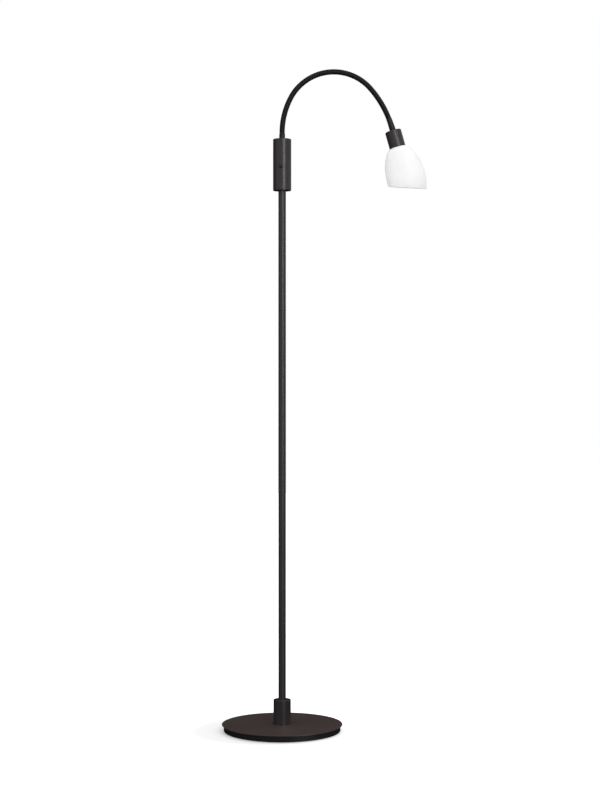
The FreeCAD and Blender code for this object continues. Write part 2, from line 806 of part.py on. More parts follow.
def globe_form(doc, name, inset):
    """The bulb's ball and throat, moved in by an inset and running out of the open throat."""
    ball = doc.addObject("Part::Sphere", name + "_ball")
    ball.setExpression("Radius", formula(f"globe_diameter / 2 - {inset}"))
    ball.setExpression("Placement.Base.z", formula("globe_length - globe_diameter / 2"))
    throat = doc.addObject("Part::Cone", name + "_throat")
    throat.setExpression("Radius1", formula(f"bulb_base_diameter / 2 - {inset}"))
    throat.setExpression("Radius2", formula(f"globe_diameter / 2 * globe_neck_share - {inset}"))
    throat.setExpression("Height", formula("globe_neck_length"))
    form = doc.addObject("Part::Fuse", name)
    form.Base = ball
    form.Tool = throat
    return form


def make_bulb(doc, s, head):
    """Screw-base bulb with a round globe, seated on the centre contact."""
    tip = s.cap_wall + s.cap_nut_thickness + s.holder_floor + s.contact_reach + s.thread_gap
    base = turned(
        doc,
        "bulb_base",
        (
            ("0", "0"),
            ("bulb_tip_diameter / 2", "0"),
            ("bulb_base_diameter / 2", "bulb_tip_length"),
            ("bulb_base_diameter / 2", "bulb_base_length"),
            ("0", "bulb_base_length"),
        ),
    )
    place_in(base, head, tip)
    outside = globe_form(doc, "globe_outside", "0")
    inside = globe_form(doc, "globe_inside", "globe_wall")
    globe = doc.addObject("Part::Cut", "bulb_globe")
    globe.Label = "bulb_globe"
    globe.Base = outside
    globe.Tool = inside
    doc.recompute()
    place_in(globe, head, tip + s.bulb_base_length)
    return [base, globe]


def shade_curve(s, inset):
    """Edges of the shade's outline in (radius, distance from its top), moved in by an inset."""
    heading = s.shade_shoulder_angle
    angle = math.radians(heading)
    point = Vector(s.shade_top_diameter / 2 - inset * math.cos(angle), 0, inset * math.sin(angle))
    stops = (
        (s.shade_shoulder_radius, s.shade_flank_angle),
        (s.shade_flank_radius, s.shade_belly_angle),
        (s.shade_belly_radius, 0),
        (s.shade_skirt_radius, -s.shade_skirt_angle),
    )
    edges = []
    for radius, stop in stops:
        r = radius - inset
        centre = point - Vector(math.cos(angle), 0, -math.sin(angle)) * r
        half = (angle + math.radians(stop)) / 2
        angle = math.radians(stop)
        middle = centre + Vector(math.cos(half), 0, -math.sin(half)) * r
        end = centre + Vector(math.cos(angle), 0, -math.sin(angle)) * r
        edges.append(Part.Arc(point, middle, end).toShape())
        point = end
    return edges


def make_shade(doc, s, head):
    """Blown glass bell with an oblique mouth, and the ring that holds it to the lampholder."""
    outer = shade_curve(s, 0)
    inner = shade_curve(s, s.shade_wall)
    hole = s.holder_diameter / 2 + s.seat_gap
    top = outer[0].Vertexes[0].Point
    inner_top = inner[0].Vertexes[0].Point
    rim = Part.LineSegment(outer[-1].Vertexes[-1].Point, inner[-1].Vertexes[-1].Point).toShape()
    corners = [inner_top, Vector(hole, 0, inner_top.z), Vector(hole, 0, 0), top]
    flat = [Part.LineSegment(a, b).toShape() for a, b in zip(corners, corners[1:])]
    face = Part.Face(Part.Wire(Part.__sortEdges__(outer + [rim] + inner + flat)))
    bell = face.revolve(Vector(0, 0, 0), UP, 360)

    reach = s.shade_axis_length * 2
    slab = Part.makeBox(reach, reach, reach, Vector(-reach / 2, -reach / 2, 0))
    tilt = Rotation(Vector(0, 1, 0), s.shade_cut_angle)
    slab.Placement = Placement(Vector(0, 0, s.shade_axis_length), tilt).multiply(slab.Placement)

    shade = doc.addObject("Part::Feature", "glass_shade")
    shade.Label = "glass_shade"
    shade.Shape = bell.cut(slab).Solids[0]
    seat = s.cap_length + s.seat_gap
    turn = Placement(Vector(0, 0, seat), Rotation(UP, s.shade_turn))
    shade.Placement = head.multiply(turn)

    holding = ring(doc, "shade_ring", "ring_diameter", "( holder_diameter + thread_gap * 2 )", "ring_thickness")
    place_in(holding, head, seat + inner_top.z + s.thread_gap)
    return [shade, holding]


# ---------------------------------------------------------------- whole lamp


def check(doc, pieces):
    """Stop on any failed feature or any piece that is not one or more sound solids."""
    for item in doc.Objects:
        if {"Invalid", "Error"} & set(item.State):
            raise RuntimeError(f"{item.Label}: {item.State}")
    for piece in pieces:
        shape = piece.Shape
        if shape.isNull() or not shape.isValid() or not shape.Solids:
            raise RuntimeError(f"{piece.Label}: no sound solid")


def main():
    doc = FreeCAD.newDocument("reading_lamp")
    s = Sizes(fill_sheet(doc))
    head = neck_frame(s, neck_length(s) + s.upper_sleeve_length)
    pieces = make_base(doc, s) + make_pole_foot(doc, s)
    pieces += make_housing(doc, s) + make_switch(doc, s)
    pieces += make_neck(doc, s) + [make_sleeve(doc, s, head)]
    pieces += make_holder(doc, s, head) + make_bulb(doc, s, head) + make_shade(doc, s, head)
    doc.recompute()
    check(doc, pieces)
    os.makedirs("parts", exist_ok=True)
    for piece in pieces:
        piece.Shape.exportStep(f"parts/{piece.Label}.step")
    print(f"{len(pieces)} pieces, neck {neck_length(s):.1f} mm long")


main()
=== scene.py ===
"""Gooseneck reading floor lamp: surfaces, finishes and studio.

Laid out as an add-on and run as a script. Lengths are in metres. +Z is up, the
lamp head reaches out towards +X and the switch faces -Y.
"""

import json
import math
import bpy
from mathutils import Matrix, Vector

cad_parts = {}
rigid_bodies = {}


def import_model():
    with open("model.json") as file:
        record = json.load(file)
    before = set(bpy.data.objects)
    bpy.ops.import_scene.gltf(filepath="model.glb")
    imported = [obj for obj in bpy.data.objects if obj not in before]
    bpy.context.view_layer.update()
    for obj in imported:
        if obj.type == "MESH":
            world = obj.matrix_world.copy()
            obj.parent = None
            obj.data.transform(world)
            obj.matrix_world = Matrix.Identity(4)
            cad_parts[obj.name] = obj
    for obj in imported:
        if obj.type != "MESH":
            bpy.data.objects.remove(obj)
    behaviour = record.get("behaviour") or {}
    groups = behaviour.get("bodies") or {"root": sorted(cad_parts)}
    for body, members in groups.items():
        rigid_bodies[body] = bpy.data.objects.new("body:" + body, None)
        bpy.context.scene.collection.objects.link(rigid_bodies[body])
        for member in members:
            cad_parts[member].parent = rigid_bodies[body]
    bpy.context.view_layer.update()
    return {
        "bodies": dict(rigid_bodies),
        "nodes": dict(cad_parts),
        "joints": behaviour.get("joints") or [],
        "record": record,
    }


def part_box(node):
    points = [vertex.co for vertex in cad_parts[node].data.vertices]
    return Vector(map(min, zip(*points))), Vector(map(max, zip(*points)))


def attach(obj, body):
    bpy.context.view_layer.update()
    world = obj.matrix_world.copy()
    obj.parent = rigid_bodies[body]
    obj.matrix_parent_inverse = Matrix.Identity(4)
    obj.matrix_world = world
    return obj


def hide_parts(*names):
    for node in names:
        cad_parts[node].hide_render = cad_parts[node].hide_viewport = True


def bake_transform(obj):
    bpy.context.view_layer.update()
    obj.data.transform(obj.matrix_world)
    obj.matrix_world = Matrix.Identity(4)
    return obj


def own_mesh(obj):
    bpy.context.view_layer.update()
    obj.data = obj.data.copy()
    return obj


bl_info = {
    "name": "Gooseneck Reading Lamp",
    "version": (1, 0, 0),
    "blender": (4, 5, 0),
    "location": "3D View > Sidebar > Reading Lamp",
    "description": "Surfaces, finishes and studio of a gooseneck reading floor lamp",
    "category": "Add Mesh",
}

import bmesh
import bpy
import numpy as np
from mathutils import Vector

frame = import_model()

UP = np.array([0.0, 0.0, 1.0])
SIDEWAYS = np.array([0.0, 1.0, 0.0])


# ------------------------------------------------------------------ sizes and colours


def length(name, description, default):
    return bpy.props.FloatProperty(
        name=name, description=description, default=default, min=0.0, precision=5, unit="LENGTH"
    )


def angle(name, description, degrees):
    return bpy.props.FloatProperty(
        name=name, description=description, default=math.radians(degrees), subtype="ANGLE"
    )


def share(name, description, default):
    return bpy.props.FloatProperty(
        name=name, description=description, default=default, min=0.0, max=2.0, subtype="FACTOR"
    )


def watts(name, description, default):
    return bpy.props.FloatProperty(
        name=name, description=description + ", in watts", default=default, min=0.0, unit="POWER"
    )


def count(name, description, default):
    return bpy.props.IntProperty(name=name, description=description, default=default, min=1)


def colour(name, description, default):
    return bpy.props.FloatVectorProperty(
        name=name, description=description, default=default, size=3, min=0.0, max=1.0, subtype="COLOR"
    )


class BaseSizes(bpy.types.PropertyGroup):
    """Steel cover of the round base"""

    bevel: length("Bevel", "Bevel underneath the cover's edge", 0.0016)
    edge: length("Edge round", "Rounding of the cover's top edge", 0.0005)
    hole: length("Hole", "Diameter of the hole for the pole's stud", 0.0102)


class SwitchSizes(bpy.types.PropertyGroup):
    """Push switch in the housing's front"""

    height: length("Height", "Height of the switch above the floor", 1.193)
    turn: angle("Turn", "How far the switch is turned towards the left of the front", 7.6)
    face: length("Face", "Distance from the pole's axis to the housing's outside", 0.01925)
    bezel_diameter: length("Nut diameter", "Across the outside nut", 0.0086)
    bezel_thickness: length("Nut thickness", "Thickness of the outside nut", 0.0013)
    knurls: count("Knurls", "Ridges round the outside nut", 28)
    button_diameter: length("Button diameter", "Across the push button", 0.0044)
    button_foot: length("Button foot", "Diameter of the button's foot inside", 0.0072)
    button_start: length("Button start", "Where the button's foot starts, from the pole's axis", 0.0126)
    button_end: length("Button end", "Where the button's crown ends, from the pole's axis", 0.02345)
    travel: length("Travel", "How far the button can be pressed", 0.0018)
    spring_floor: length("Spring floor", "Where the return spring stands, from the pole's axis", 0.0052)
    spring_diameter: length("Spring diameter", "Across the coil's wire centres", 0.0054)
    spring_wire: length("Spring wire", "Diameter of the spring's wire", 0.0005)
    spring_turns: count("Spring turns", "Turns of the return spring", 5)


class NeckSizes(bpy.types.PropertyGroup):
    """Wound steel neck and its two sleeves"""

    foot: length("Foot", "Height of the first hinge above the floor", 1.2665)
    diameter: length("Diameter", "Across the winding's crests", 0.0115)
    groove: length("Groove", "Depth of the groove between two turns", 0.0008)
    bore: length("Bore", "Diameter of the way for the wires", 0.0048)
    turns: count("Turns", "Turns of the winding in each length", 6)
    rise_radius: length("Rise radius", "Radius of the first bend", 0.159)
    rise_turn: angle("Rise turn", "Turn of the first bend", 27.5)
    crown_radius: length("Crown radius", "Radius of the bend at the top", 0.103)
    crown_turn: angle("Crown turn", "Turn of the bend at the top", 111)
    fall_radius: length("Fall radius", "Radius of the last bend", 0.216)
    fall_turn: angle("Fall turn", "Turn of the last bend", 19.6)
    shoulder: length("Shoulder", "How far the lower sleeve stops below the first hinge", 0.00295)
    lower_sleeve: length("Lower sleeve", "Diameter of the sleeve on the housing", 0.0124)
    upper_sleeve: length("Upper sleeve", "Diameter of the sleeve where it meets the cap", 0.0134)
    upper_length: length("Upper sleeve length", "Length of the tapered sleeve", 0.029)
    upper_turn: angle("Upper sleeve turn", "Turn of the tapered sleeve's slight bend", 6.2)


class HeadSizes(bpy.types.PropertyGroup):
    """Lampholder cap, lampholder and bulb"""

    cap_diameter: length("Cap diameter", "Across the cap", 0.0344)
    cap_length: length("Cap length", "Length of the cap", 0.0366)
    cap_round: length("Cap round", "Rounding of the cap's top", 0.0026)
    cap_wall: length("Cap wall", "Thickness of the cap's wall", 0.0014)
    holder_start: length("Holder start", "Lampholder's top, from the cap's top", 0.006)
    holder_diameter: length("Holder diameter", "Across the lampholder's thread", 0.028)
    holder_thread: length("Holder thread", "Pitch of the lampholder's thread", 0.0024)
    bulb_start: length("Bulb start", "Bulb's contact, from the cap's top", 0.0257)
    bulb_thread: length("Bulb thread", "Pitch of the bulb's screw", 0.00282)
    ring_start: length("Ring start", "Holding ring's top, from the cap's top", 0.0392135)
    ring_diameter: length("Ring diameter", "Across the ring that holds the shade", 0.032)
    ring_grips: count("Ring grips", "Finger grips round the holding ring", 16)


class ShadeSizes(bpy.types.PropertyGroup):
    """Blown opal glass bell with an oblique mouth"""

    start: length("Start", "Glass's top, from the cap's top", 0.0369)
    hole: length("Hole", "Radius of the hole in the glass's top", 0.0143)
    wall: length("Wall", "Thickness of the glass", 0.0025)
    top_diameter: length("Top diameter", "Across the glass's top", 0.0344)
    shoulder_angle: angle("Shoulder angle", "Slope at the glass's top", 62.3)
    shoulder_radius: length("Shoulder radius", "Radius of the shoulder", 0.0241)
    flank_angle: angle("Flank angle", "Slope where the shoulder ends", 30)
    flank_radius: length("Flank radius", "Radius of the flank", 0.104)
    belly_angle: angle("Belly angle", "Slope where the flank ends", 12)
    belly_radius: length("Belly radius", "Radius of the belly", 0.135)
    skirt_radius: length("Skirt radius", "Radius of the skirt", 0.085)
    skirt_angle: angle("Skirt angle", "Slope inwards that the skirt could reach", 24)
    axis_length: length("Axis length", "From the top to the mouth, along the axis", 0.089)
    cut_angle: angle("Cut angle", "Slant of the mouth", 19.8)
    turn: angle("Turn", "How far the long side is turned to the front", 20)


class FinishColours(bpy.types.PropertyGroup):
    """Colours of the finishes"""

    paint: colour("Paint", "Powder coat of pole, collar and housing", (0.0165, 0.0138, 0.0146))
    # Lighter and warmer copy of the pole's paint: the warmer hue is given as the cover's own, and the extra
    # lightness is painted light on its upward face.
    lit_base_paint: colour("Base paint", "Powder coat of the base's cover", (0.0415, 0.0284, 0.0270))
    cast: colour("Casting", "Paint on the cast weight", (0.0045, 0.0042, 0.0050))
    cap: colour("Cap", "Satin paint of the lampholder cap", (0.0185, 0.0143, 0.0153))
    neck: colour("Neck", "Blackened wound steel", (0.0036, 0.0034, 0.0036))
    sleeve: colour("Sleeve", "Satin black of both sleeves", (0.0070, 0.0064, 0.0068))
    plastic: colour("Plastic", "Moulded black plastic", (0.0045, 0.0045, 0.0050))
    terminal: colour("Terminal", "Cream nylon", (0.62, 0.59, 0.51))
    felt: colour("Felt", "Felt under the base", (0.016, 0.016, 0.017))
    rubber: colour("Rubber", "Bush at the cord's inlet", (0.012, 0.012, 0.012))
    zinc: colour("Zinc", "Zinc plated steel", (0.56, 0.57, 0.58))
    brass: colour("Brass", "Contacts", (0.72, 0.53, 0.24))
    bulb_metal: colour("Bulb metal", "Bulb's screw cap", (0.66, 0.65, 0.62))
    opal: colour("Opal glass", "Blown opal glass", (0.905, 0.895, 0.885))
    bulb: colour("Bulb glass", "Frosted bulb", (0.90, 0.89, 0.86))


class StudioLevels(bpy.types.PropertyGroup):
    """Light, floor and camera"""

    key: watts("Key", "Power of the tall narrow lamp that gloss sees at the right", 44.0)
    right: watts("Right", "Power of the wide lamp at the right of the camera", 24.0)
    side: watts("Side", "Power of the low lamp at the right", 5.0)
    front: watts("Front", "Power of the wide lamp at the left of the camera", 58.0)
    overhead: watts("Overhead", "Power of the lamp above", 22.0)
    surround: share("Surround", "Level of the world's light on the object", 0.93)
    reflected: share("Reflected", "Level of the white background in gloss", 0.62)
    floor_lift: share("Floor lift", "How much white the seen floor gains near the lamp", 0.28)
    lens: bpy.props.FloatProperty(name="Lens", description="Focal length", default=74.8, unit="CAMERA")
    camera: bpy.props.FloatVectorProperty(
        name="Camera", description="Camera's place", default=(0.0378, -3.519, 0.7007), subtype="TRANSLATION"
    )


class LampSettings(bpy.types.PropertyGroup):
    """Everything that can be changed on the lamp"""

    base: bpy.props.PointerProperty(type=BaseSizes, name="Base", description="Cover of the base")
    switch: bpy.props.PointerProperty(type=SwitchSizes, name="Switch", description="Push switch")
    neck: bpy.props.PointerProperty(type=NeckSizes, name="Neck", description="Neck and sleeves")
    head: bpy.props.PointerProperty(type=HeadSizes, name="Head", description="Cap, holder and bulb")
    shade: bpy.props.PointerProperty(type=ShadeSizes, name="Shade", description="Glass shade")
    colours: bpy.props.PointerProperty(type=FinishColours, name="Colours", description="Finish colours")
    studio: bpy.props.PointerProperty(type=StudioLevels, name="Studio", description="Light and camera")


def settings():
    return bpy.context.scene.reading_lamp


# ------------------------------------------------------------------ meshes from arrays


def grid_faces(rows, columns, wrap):
    """Corner numbers of the quads of a grid whose columns close on themselves.

    Quad (i, j) joins (i, j), (i, j + 1), (i + 1, j + 1) and (i + 1, j). With
    wrap the last row joins the first.
    """
    i, j = np.meshgrid(np.arange(rows if wrap else rows - 1), np.arange(columns), indexing="ij")
    below, beside = (i + 1) % rows, (j + 1) % columns
    corners = (i * columns + j, i * columns + beside, below * columns + beside, below * columns + j)
    return np.stack(corners, axis=-1).reshape(-1, 4)


def new_piece(name, points, faces, **attributes):
    """A smooth mesh object at the origin from arrays of points and corner numbers."""
    mesh = bpy.data.meshes.new(name)
    mesh.from_pydata(points.reshape(-1, 3).tolist(), [], faces.tolist())
    mesh.polygons.foreach_set("use_smooth", np.ones(len(faces), bool))
    for key, values in attributes.items():
        mesh.attributes.new(key, "FLOAT", "POINT").data.foreach_set(
            "value", np.asarray(values, np.float32).ravel()
        )
    mesh.update()
    piece = bpy.data.objects.new(name, mesh)
    bpy.context.scene.collection.objects.link(piece)
    return piece


def close_poles(piece):
    """Merge the points that lie on one another where a surface meets its axis."""
    work = bmesh.new()
    work.from_mesh(piece.data)
    bmesh.ops.remove_doubles(work, verts=work.verts, dist=1e-7)
    work.to_mesh(piece.data)
    work.free()


def rounded(corners, closed=True, steps=5, hold=0.00012):
    """Points of an outline whose corners are given as (across, along, rounding).

    Each corner becomes an arc that touches both of its sides: its centre lies on
    the corner's bisector, rounding / sin(half the inner angle) away. A point a
    little outside each end of the arc keeps the flat sides flat. An open outline
    keeps its first and last corner sharp.
    """
    path = np.array([corner[:2] for corner in corners])
    points = [] if closed else [path[:1]]
    for i in range(0 if closed else 1, len(path) if closed else len(path) - 1):
        here, rounding = path[i], corners[i][2]
        back, on = path[i - 1] - here, path[(i + 1) % len(path)] - here
        room = min(np.linalg.norm(back), np.linalg.norm(on))
        back, on = back / np.linalg.norm(back), on / np.linalg.norm(on)
        inner = math.acos(np.clip(back @ on, -1, 1))
        run = min(rounding / math.tan(inner / 2), room * 0.45)
        radius = run * math.tan(inner / 2)
        bisector = (back + on) / np.linalg.norm(back + on)
        centre = here + bisector * radius / math.sin(inner / 2)
        first, last = here + back * run - centre, here + on * run - centre
        sweep = math.pi - inner
        t = np.linspace(0, 1, steps + 1)[:, None]
        arc = centre + (np.sin((1 - t) * sweep) * first + np.sin(t * sweep) * last) / math.sin(sweep)
        gap = min(hold, room * 0.04)
        points += [(here + back * (run + gap))[None], arc, (here + on * (run + gap))[None]]
    if not closed:
        points.append(path[-1:])
    return np.concatenate(points)


def place_on(origin, across, along):
    """Origin and three axes of a turned piece: X across, Z along, Y square to both."""
    return np.asarray(origin, float), across, np.cross(along, across), along


def turned(name, outline, place, around=96, relief=None, closed=True):
    """A surface turned about the place's Z axis.

    Point = origin + radius (cos a X + sin a Y) + along Z, with radius = across
    + relief(a, across, along). The outline runs anticlockwise with across to the
    right and along upwards, so faces point outwards.
    """
    origin, x, y, z = place
    a = np.arange(around) / around * 2 * np.pi
    across, along = outline[:, 0, None], outline[:, 1, None]
    radius = across + (relief(a[None], across, along) if relief else 0.0) + 0.0 * a
    ring = np.cos(a)[:, None] * x + np.sin(a)[:, None] * y
    points = origin + radius[..., None] * ring[None] + along[..., None] * z
    travel = np.cumsum(np.linalg.norm(np.diff(outline, axis=0, prepend=outline[:1]), axis=1))
    piece = new_piece(
        name, points, grid_faces(len(outline), around, closed), travel=np.repeat(travel, around)
    )
    if not closed:
        close_poles(piece)
    return piece


def thread_relief(a, along, pitch, depth, ends, fading):
    """A rounded thread: depth (0.5 + 0.5 cos(2 pi along / pitch - a)), faded at both ends."""
    wave = 0.5 + 0.5 * np.cos(2 * np.pi * along / pitch - a)
    inside = np.clip((along - ends[0]) / fading, 0, 1) * np.clip((ends[1] - along) / fading, 0, 1)
    return depth * wave * inside


# ------------------------------------------------------------------ neck's centreline


def neck_bends(neck):
    return (
        (neck.rise_radius, neck.rise_turn),
        (neck.crown_radius, neck.crown_turn),
        (neck.fall_radius, neck.fall_turn),
    )


def neck_length(neck):
    return sum(radius * turn for radius, turn in neck_bends(neck))


def centreline(neck, distance):
    """Points and headings of the neck's centreline at distances from its first hinge.

    The line is straight below the hinge. Above it each of the neck's bends, and
    then the upper sleeve's, adds an arc: across = radius (1 - cos turn), along =
    radius sin turn, both turned by the heading that the bends below it have
    reached. Beyond the sleeve the line is straight again.
    """
    distance = np.atleast_1d(np.asarray(distance, float))
    x = np.zeros_like(distance)
    z = neck.foot + np.minimum(distance, 0)
    heading = np.zeros_like(distance)
    left = np.maximum(distance, 0)
    reached = 0.0
    sleeve = (neck.upper_length / neck.upper_turn, neck.upper_turn)
    for radius, turn in neck_bends(neck) + (sleeve,):
        part = np.clip(left / radius, 0, turn)
        across, along = radius * (1 - np.cos(part)), radius * np.sin(part)
        x += across * math.cos(reached) + along * math.sin(reached)
        z += along * math.cos(reached) - across * math.sin(reached)
        heading += part
        left = np.maximum(left - radius * turn, 0)
        reached += turn
    x += left * math.sin(reached)
    z += left * math.cos(reached)
    return np.stack((x, np.zeros_like(x), z), axis=-1), heading


def centreline_rings(neck, distance, radius, a):
    """Rings of points round the neck's centreline.

    Point = centre + radius (cos a N + sin a Y), N square to the heading in the
    plane of the bends.
    """
    centre, heading = centreline(neck, distance)
    across = np.stack((np.cos(heading), 0 * heading, -np.sin(heading)), axis=-1)
    ring = np.cos(a)[:, None] * across[:, None] + np.sin(a)[:, None] * SIDEWAYS
    return centre[:, None] + radius[..., None] * ring


def head_place(neck, along=0.0, turn=0.0):
    """Place of a piece of the lamp head: Z runs down towards the bulb."""
    spot, heading = centreline(neck, neck_length(neck) + neck.upper_length)
    h = heading[0]
    z = np.array([math.sin(h), 0.0, math.cos(h)])
    x = np.array([math.cos(h), 0.0, -math.sin(h)])
    x = x * math.cos(turn) + SIDEWAYS * math.sin(turn)
    return place_on(spot[0] + z * along, x, z)


def pole_place():
    """Place of a piece on the pole's axis: Z is up from the floor."""
    return place_on((0, 0, 0), np.array([1.0, 0, 0]), UP)


def switch_place(switch):
    """Place of a piece of the switch: Z points out of the housing's front."""
    outward = np.array([-math.sin(switch.turn), -math.cos(switch.turn), 0.0])
    return place_on((0, 0, switch.height), UP, outward)


# ------------------------------------------------------------------ finishes


def plug(tree, what, socket):
    """Link a number or a socket to a socket, or set the socket to a plain value."""
    if isinstance(what, Number):
        what = what.socket
    if isinstance(what, bpy.types.NodeSocket):
        tree.links.new(what, socket)
    else:
        socket.default_value = what


class Number:
    """A value in a shader. Its operators add Math nodes, from either side."""

    def __init__(self, tree, socket):
        self.tree, self.socket = tree, socket

    def math(self, operation, *operands):
        node = self.tree.nodes.new("ShaderNodeMath")
        node.operation = operation
        for operand, socket in zip(operands, node.inputs):
            plug(self.tree, operand, socket)
        return Number(self.tree, node.outputs[0])

    def __add__(self, other):
        return self.math("ADD", self, other)

    __radd__ = __add__

    def __sub__(self, other):
        return self.math("SUBTRACT", self, other)

    def __rsub__(self, other):
        return self.math("SUBTRACT", other, self)

    def __mul__(self, other):
        return self.math("MULTIPLY", self, other)

    __rmul__ = __mul__

    def __truediv__(self, other):
        return self.math("DIVIDE", self, other)

    def most(self, other):
        return self.math("MAXIMUM", self, other)

    def least(self, other):
        return self.math("MINIMUM", self, other)

    def ramp(self, low, high):
        """0 up to low, 1 from high on, even between them."""
        return ((self - low) / (high - low)).most(0.0).least(1.0)


class Finish:
    """One material: its node tree, its shader and the object's own coordinates."""

    def __init__(self, name):
        self.material = bpy.data.materials.new(name)
        self.material.use_nodes = True
        self.tree = self.material.node_tree
        self.shader = self.tree.nodes["Principled BSDF"]
        self.place = self.node("ShaderNodeTexCoord").outputs["Object"]

    def node(self, kind, setup=None, inputs=None):
        """Any node, with its settings first and then the values or links of its sockets."""
        node = self.tree.nodes.new(kind)
        for key, value in (setup or {}).items():
            setattr(node, key, value)
        for key, value in (inputs or {}).items():
            plug(self.tree, value, node.inputs[key])
        return node

    def fixed(self, **values):
        """Constants of the shader, such as Specular_IOR_Level for Specular IOR Level."""
        for key, value in values.items():
            self.shader.inputs[key.replace("_", " ")].default_value = value

    def noise(self, scale, detail=2.0, stretch=None):
        """Cloudy noise on the object's coordinates; stretch scales them axis by axis."""
        where = self.place
        if stretch:
            where = self.node("ShaderNodeMapping", inputs={"Vector": where, "Scale": stretch}).outputs[0]
        made = self.node("ShaderNodeTexNoise", inputs={"Vector": where, "Scale": scale, "Detail": detail})
        return Number(self.tree, made.outputs["Fac"])

    def cells(self, scale):
        """Distance to the nearest of scattered points."""
        made = self.node("ShaderNodeTexVoronoi", inputs={"Vector": self.place, "Scale": scale})
        return Number(self.tree, made.outputs["Distance"])

    def carried(self, name):
        """A value that the piece's own points carry."""
        made = self.node("ShaderNodeAttribute", setup={"attribute_name": name})
        return Number(self.tree, made.outputs["Fac"])

    def lines(self, name, scale):
        """Fine turning lines: noise along one value that the piece's points carry."""
        made = self.node("ShaderNodeTexNoise", setup={"noise_dimensions": "1D"},
                         inputs={"W": self.carried(name), "Scale": scale, "Detail": 1.0})
        return Number(self.tree, made.outputs["Fac"])

    def tint(self, amount, first, second):
        """A colour between two colours."""
        made = self.node("ShaderNodeMix", setup={"data_type": "RGBA"},
                         inputs={0: amount, 6: first, 7: second})
        return made.outputs[2]

    def wear(self, **links):
        """Feed the shader's varying sockets."""
        for key, value in links.items():
            plug(self.tree, value, self.shader.inputs[key.replace("_", " ")])

    def relief(self, height, depth, strength=1.0):
        """Bump the surface by a height between 0 and 1 times a depth in metres."""
        made = self.node("ShaderNodeBump",
                         inputs={"Height": height, "Distance": depth, "Strength": strength})
        plug(self.tree, made.outputs["Normal"], self.shader.inputs["Normal"])


def shaded(colour, amount):
    """A colour with alpha, made darker or lighter."""
    return tuple(min(channel * amount, 1.0) for channel in colour) + (1.0,)


def powder_coat(name, colour, gloss):
    """Satin powder coat: fine leathery relief, clouds of tone and a little settled dust."""
    coat = Finish(name)
    clouds, grain, fine = coat.noise(7.0, 3.0), coat.noise(900.0, 2.0), coat.noise(2600.0, 1.0)
    dust = 1.0 - coat.cells(160.0).ramp(0.04, 0.10)
    scattered = dust * coat.noise(22.0, 2.0).ramp(0.58, 0.72) * 0.12
    tone = coat.tint(clouds.ramp(0.3, 0.7), shaded(colour, 0.90), shaded(colour, 1.10))
    coat.wear(
        Base_Color=coat.tint(scattered, tone, shaded(colour, 2.6)),
        Roughness=gloss + 0.10 * grain + 0.05 * clouds + 0.2 * scattered,
    )
    coat.relief(grain * 0.7 + fine * 0.3, 0.00004, 0.35)
    coat.fixed(Specular_IOR_Level=0.42)
    return coat.material


def cast_paint(name, colour):
    """Black paint on a casting: pitted, matt, with a faint rub on its high spots."""
    paint = Finish(name)
    sand, pits, rub = paint.noise(420.0, 4.0), paint.cells(700.0), paint.noise(35.0, 3.0)
    high = sand.ramp(0.62, 0.8) * rub.ramp(0.5, 0.7) * 0.5
    paint.wear(
        Base_Color=paint.tint(high, shaded(colour, 1.0), shaded(colour, 2.2)),
        Roughness=0.62 + 0.12 * sand - 0.1 * high,
    )
    paint.relief(sand * 0.7 + pits.ramp(0.0, 0.5) * 0.3, 0.00012, 0.5)
    paint.fixed(Specular_IOR_Level=0.25)
    return paint.material


def felt(name, colour):
    """Pressed felt: matted fibres with a soft sheen."""
    cloth = Finish(name)
    fibres, mats = cloth.noise(1500.0, 4.0, (1.0, 0.35, 1.0)), cloth.noise(180.0, 3.0)
    cloth.wear(
        Base_Color=cloth.tint(fibres, shaded(colour, 0.6), shaded(colour, 1.9)),
        Roughness=0.9 + 0.1 * mats,
    )
    cloth.relief(fibres * 0.6 + mats * 0.4, 0.0003, 0.7)
    cloth.fixed(Sheen_Weight=0.4, Specular_IOR_Level=0.2)
    return cloth.material


def moulded(name, colour, gloss, grain_size=1700.0):
    """Moulded plastic or rubber: spark-eroded grain, faint flow clouds and handling marks."""
    shell = Finish(name)
    grain, flow, marks = shell.noise(grain_size, 2.0), shell.noise(55.0, 2.0), shell.noise(260.0, 3.0)
    shell.wear(
        Base_Color=shell.tint(flow, shaded(colour, 0.85), shaded(colour, 1.2)),
        Roughness=gloss + 0.1 * grain - 0.06 * marks.ramp(0.55, 0.75),
    )
    shell.relief(grain, 0.00003, 0.4)
    return shell.material


def plated(name, colour, gloss, tarnish):
    """Plated or bare metal: drawn streaks, clouds of tarnish and small scratches."""
    metal = Finish(name)
    streaks, clouds = metal.noise(900.0, 3.0, (1.0, 1.0, 0.08)), metal.noise(120.0, 3.0)
    scratches = metal.noise(2400.0, 2.0, (0.1, 1.0, 1.0)).ramp(0.66, 0.74)
    metal.wear(
        Base_Color=metal.tint(clouds.ramp(0.4, 0.75) * tarnish, shaded(colour, 1.0), shaded(colour, 0.55)),
        Roughness=gloss + 0.14 * streaks + 0.12 * clouds,
    )
    metal.relief(streaks * 0.5 + scratches * 0.5, 0.00002, 0.3)
    metal.fixed(Metallic=1.0)
    return metal.material


def wound_steel(name, colour):
    """Blackened wire: painted shade darkens the grooves with their depth, and a trace of bare steel is rubbed
    on the crests.
    """
    wire = Finish(name)
    crest, grain, rub = wire.carried("crest"), wire.noise(1300.0, 2.0), wire.noise(70.0, 3.0)
    worn = crest.ramp(0.86, 1.0) * rub.ramp(0.45, 0.75)
    # Painted shade: the colour falls to 0.35 of the wire's own at the bottom of a groove and rises to 1.15 on
    # the crests.
    tone = wire.tint(crest, shaded(colour, 0.35), shaded(colour, 1.15))
    wire.wear(
        Base_Color=wire.tint(worn * 0.35, tone, shaded(colour, 3.2)),
        Roughness=0.58 - 0.10 * worn + 0.12 * grain - 0.05 * crest,
    )
    wire.relief(grain, 0.00003, 0.3)
    wire.fixed(Specular_IOR_Level=0.25)
    return wire.material


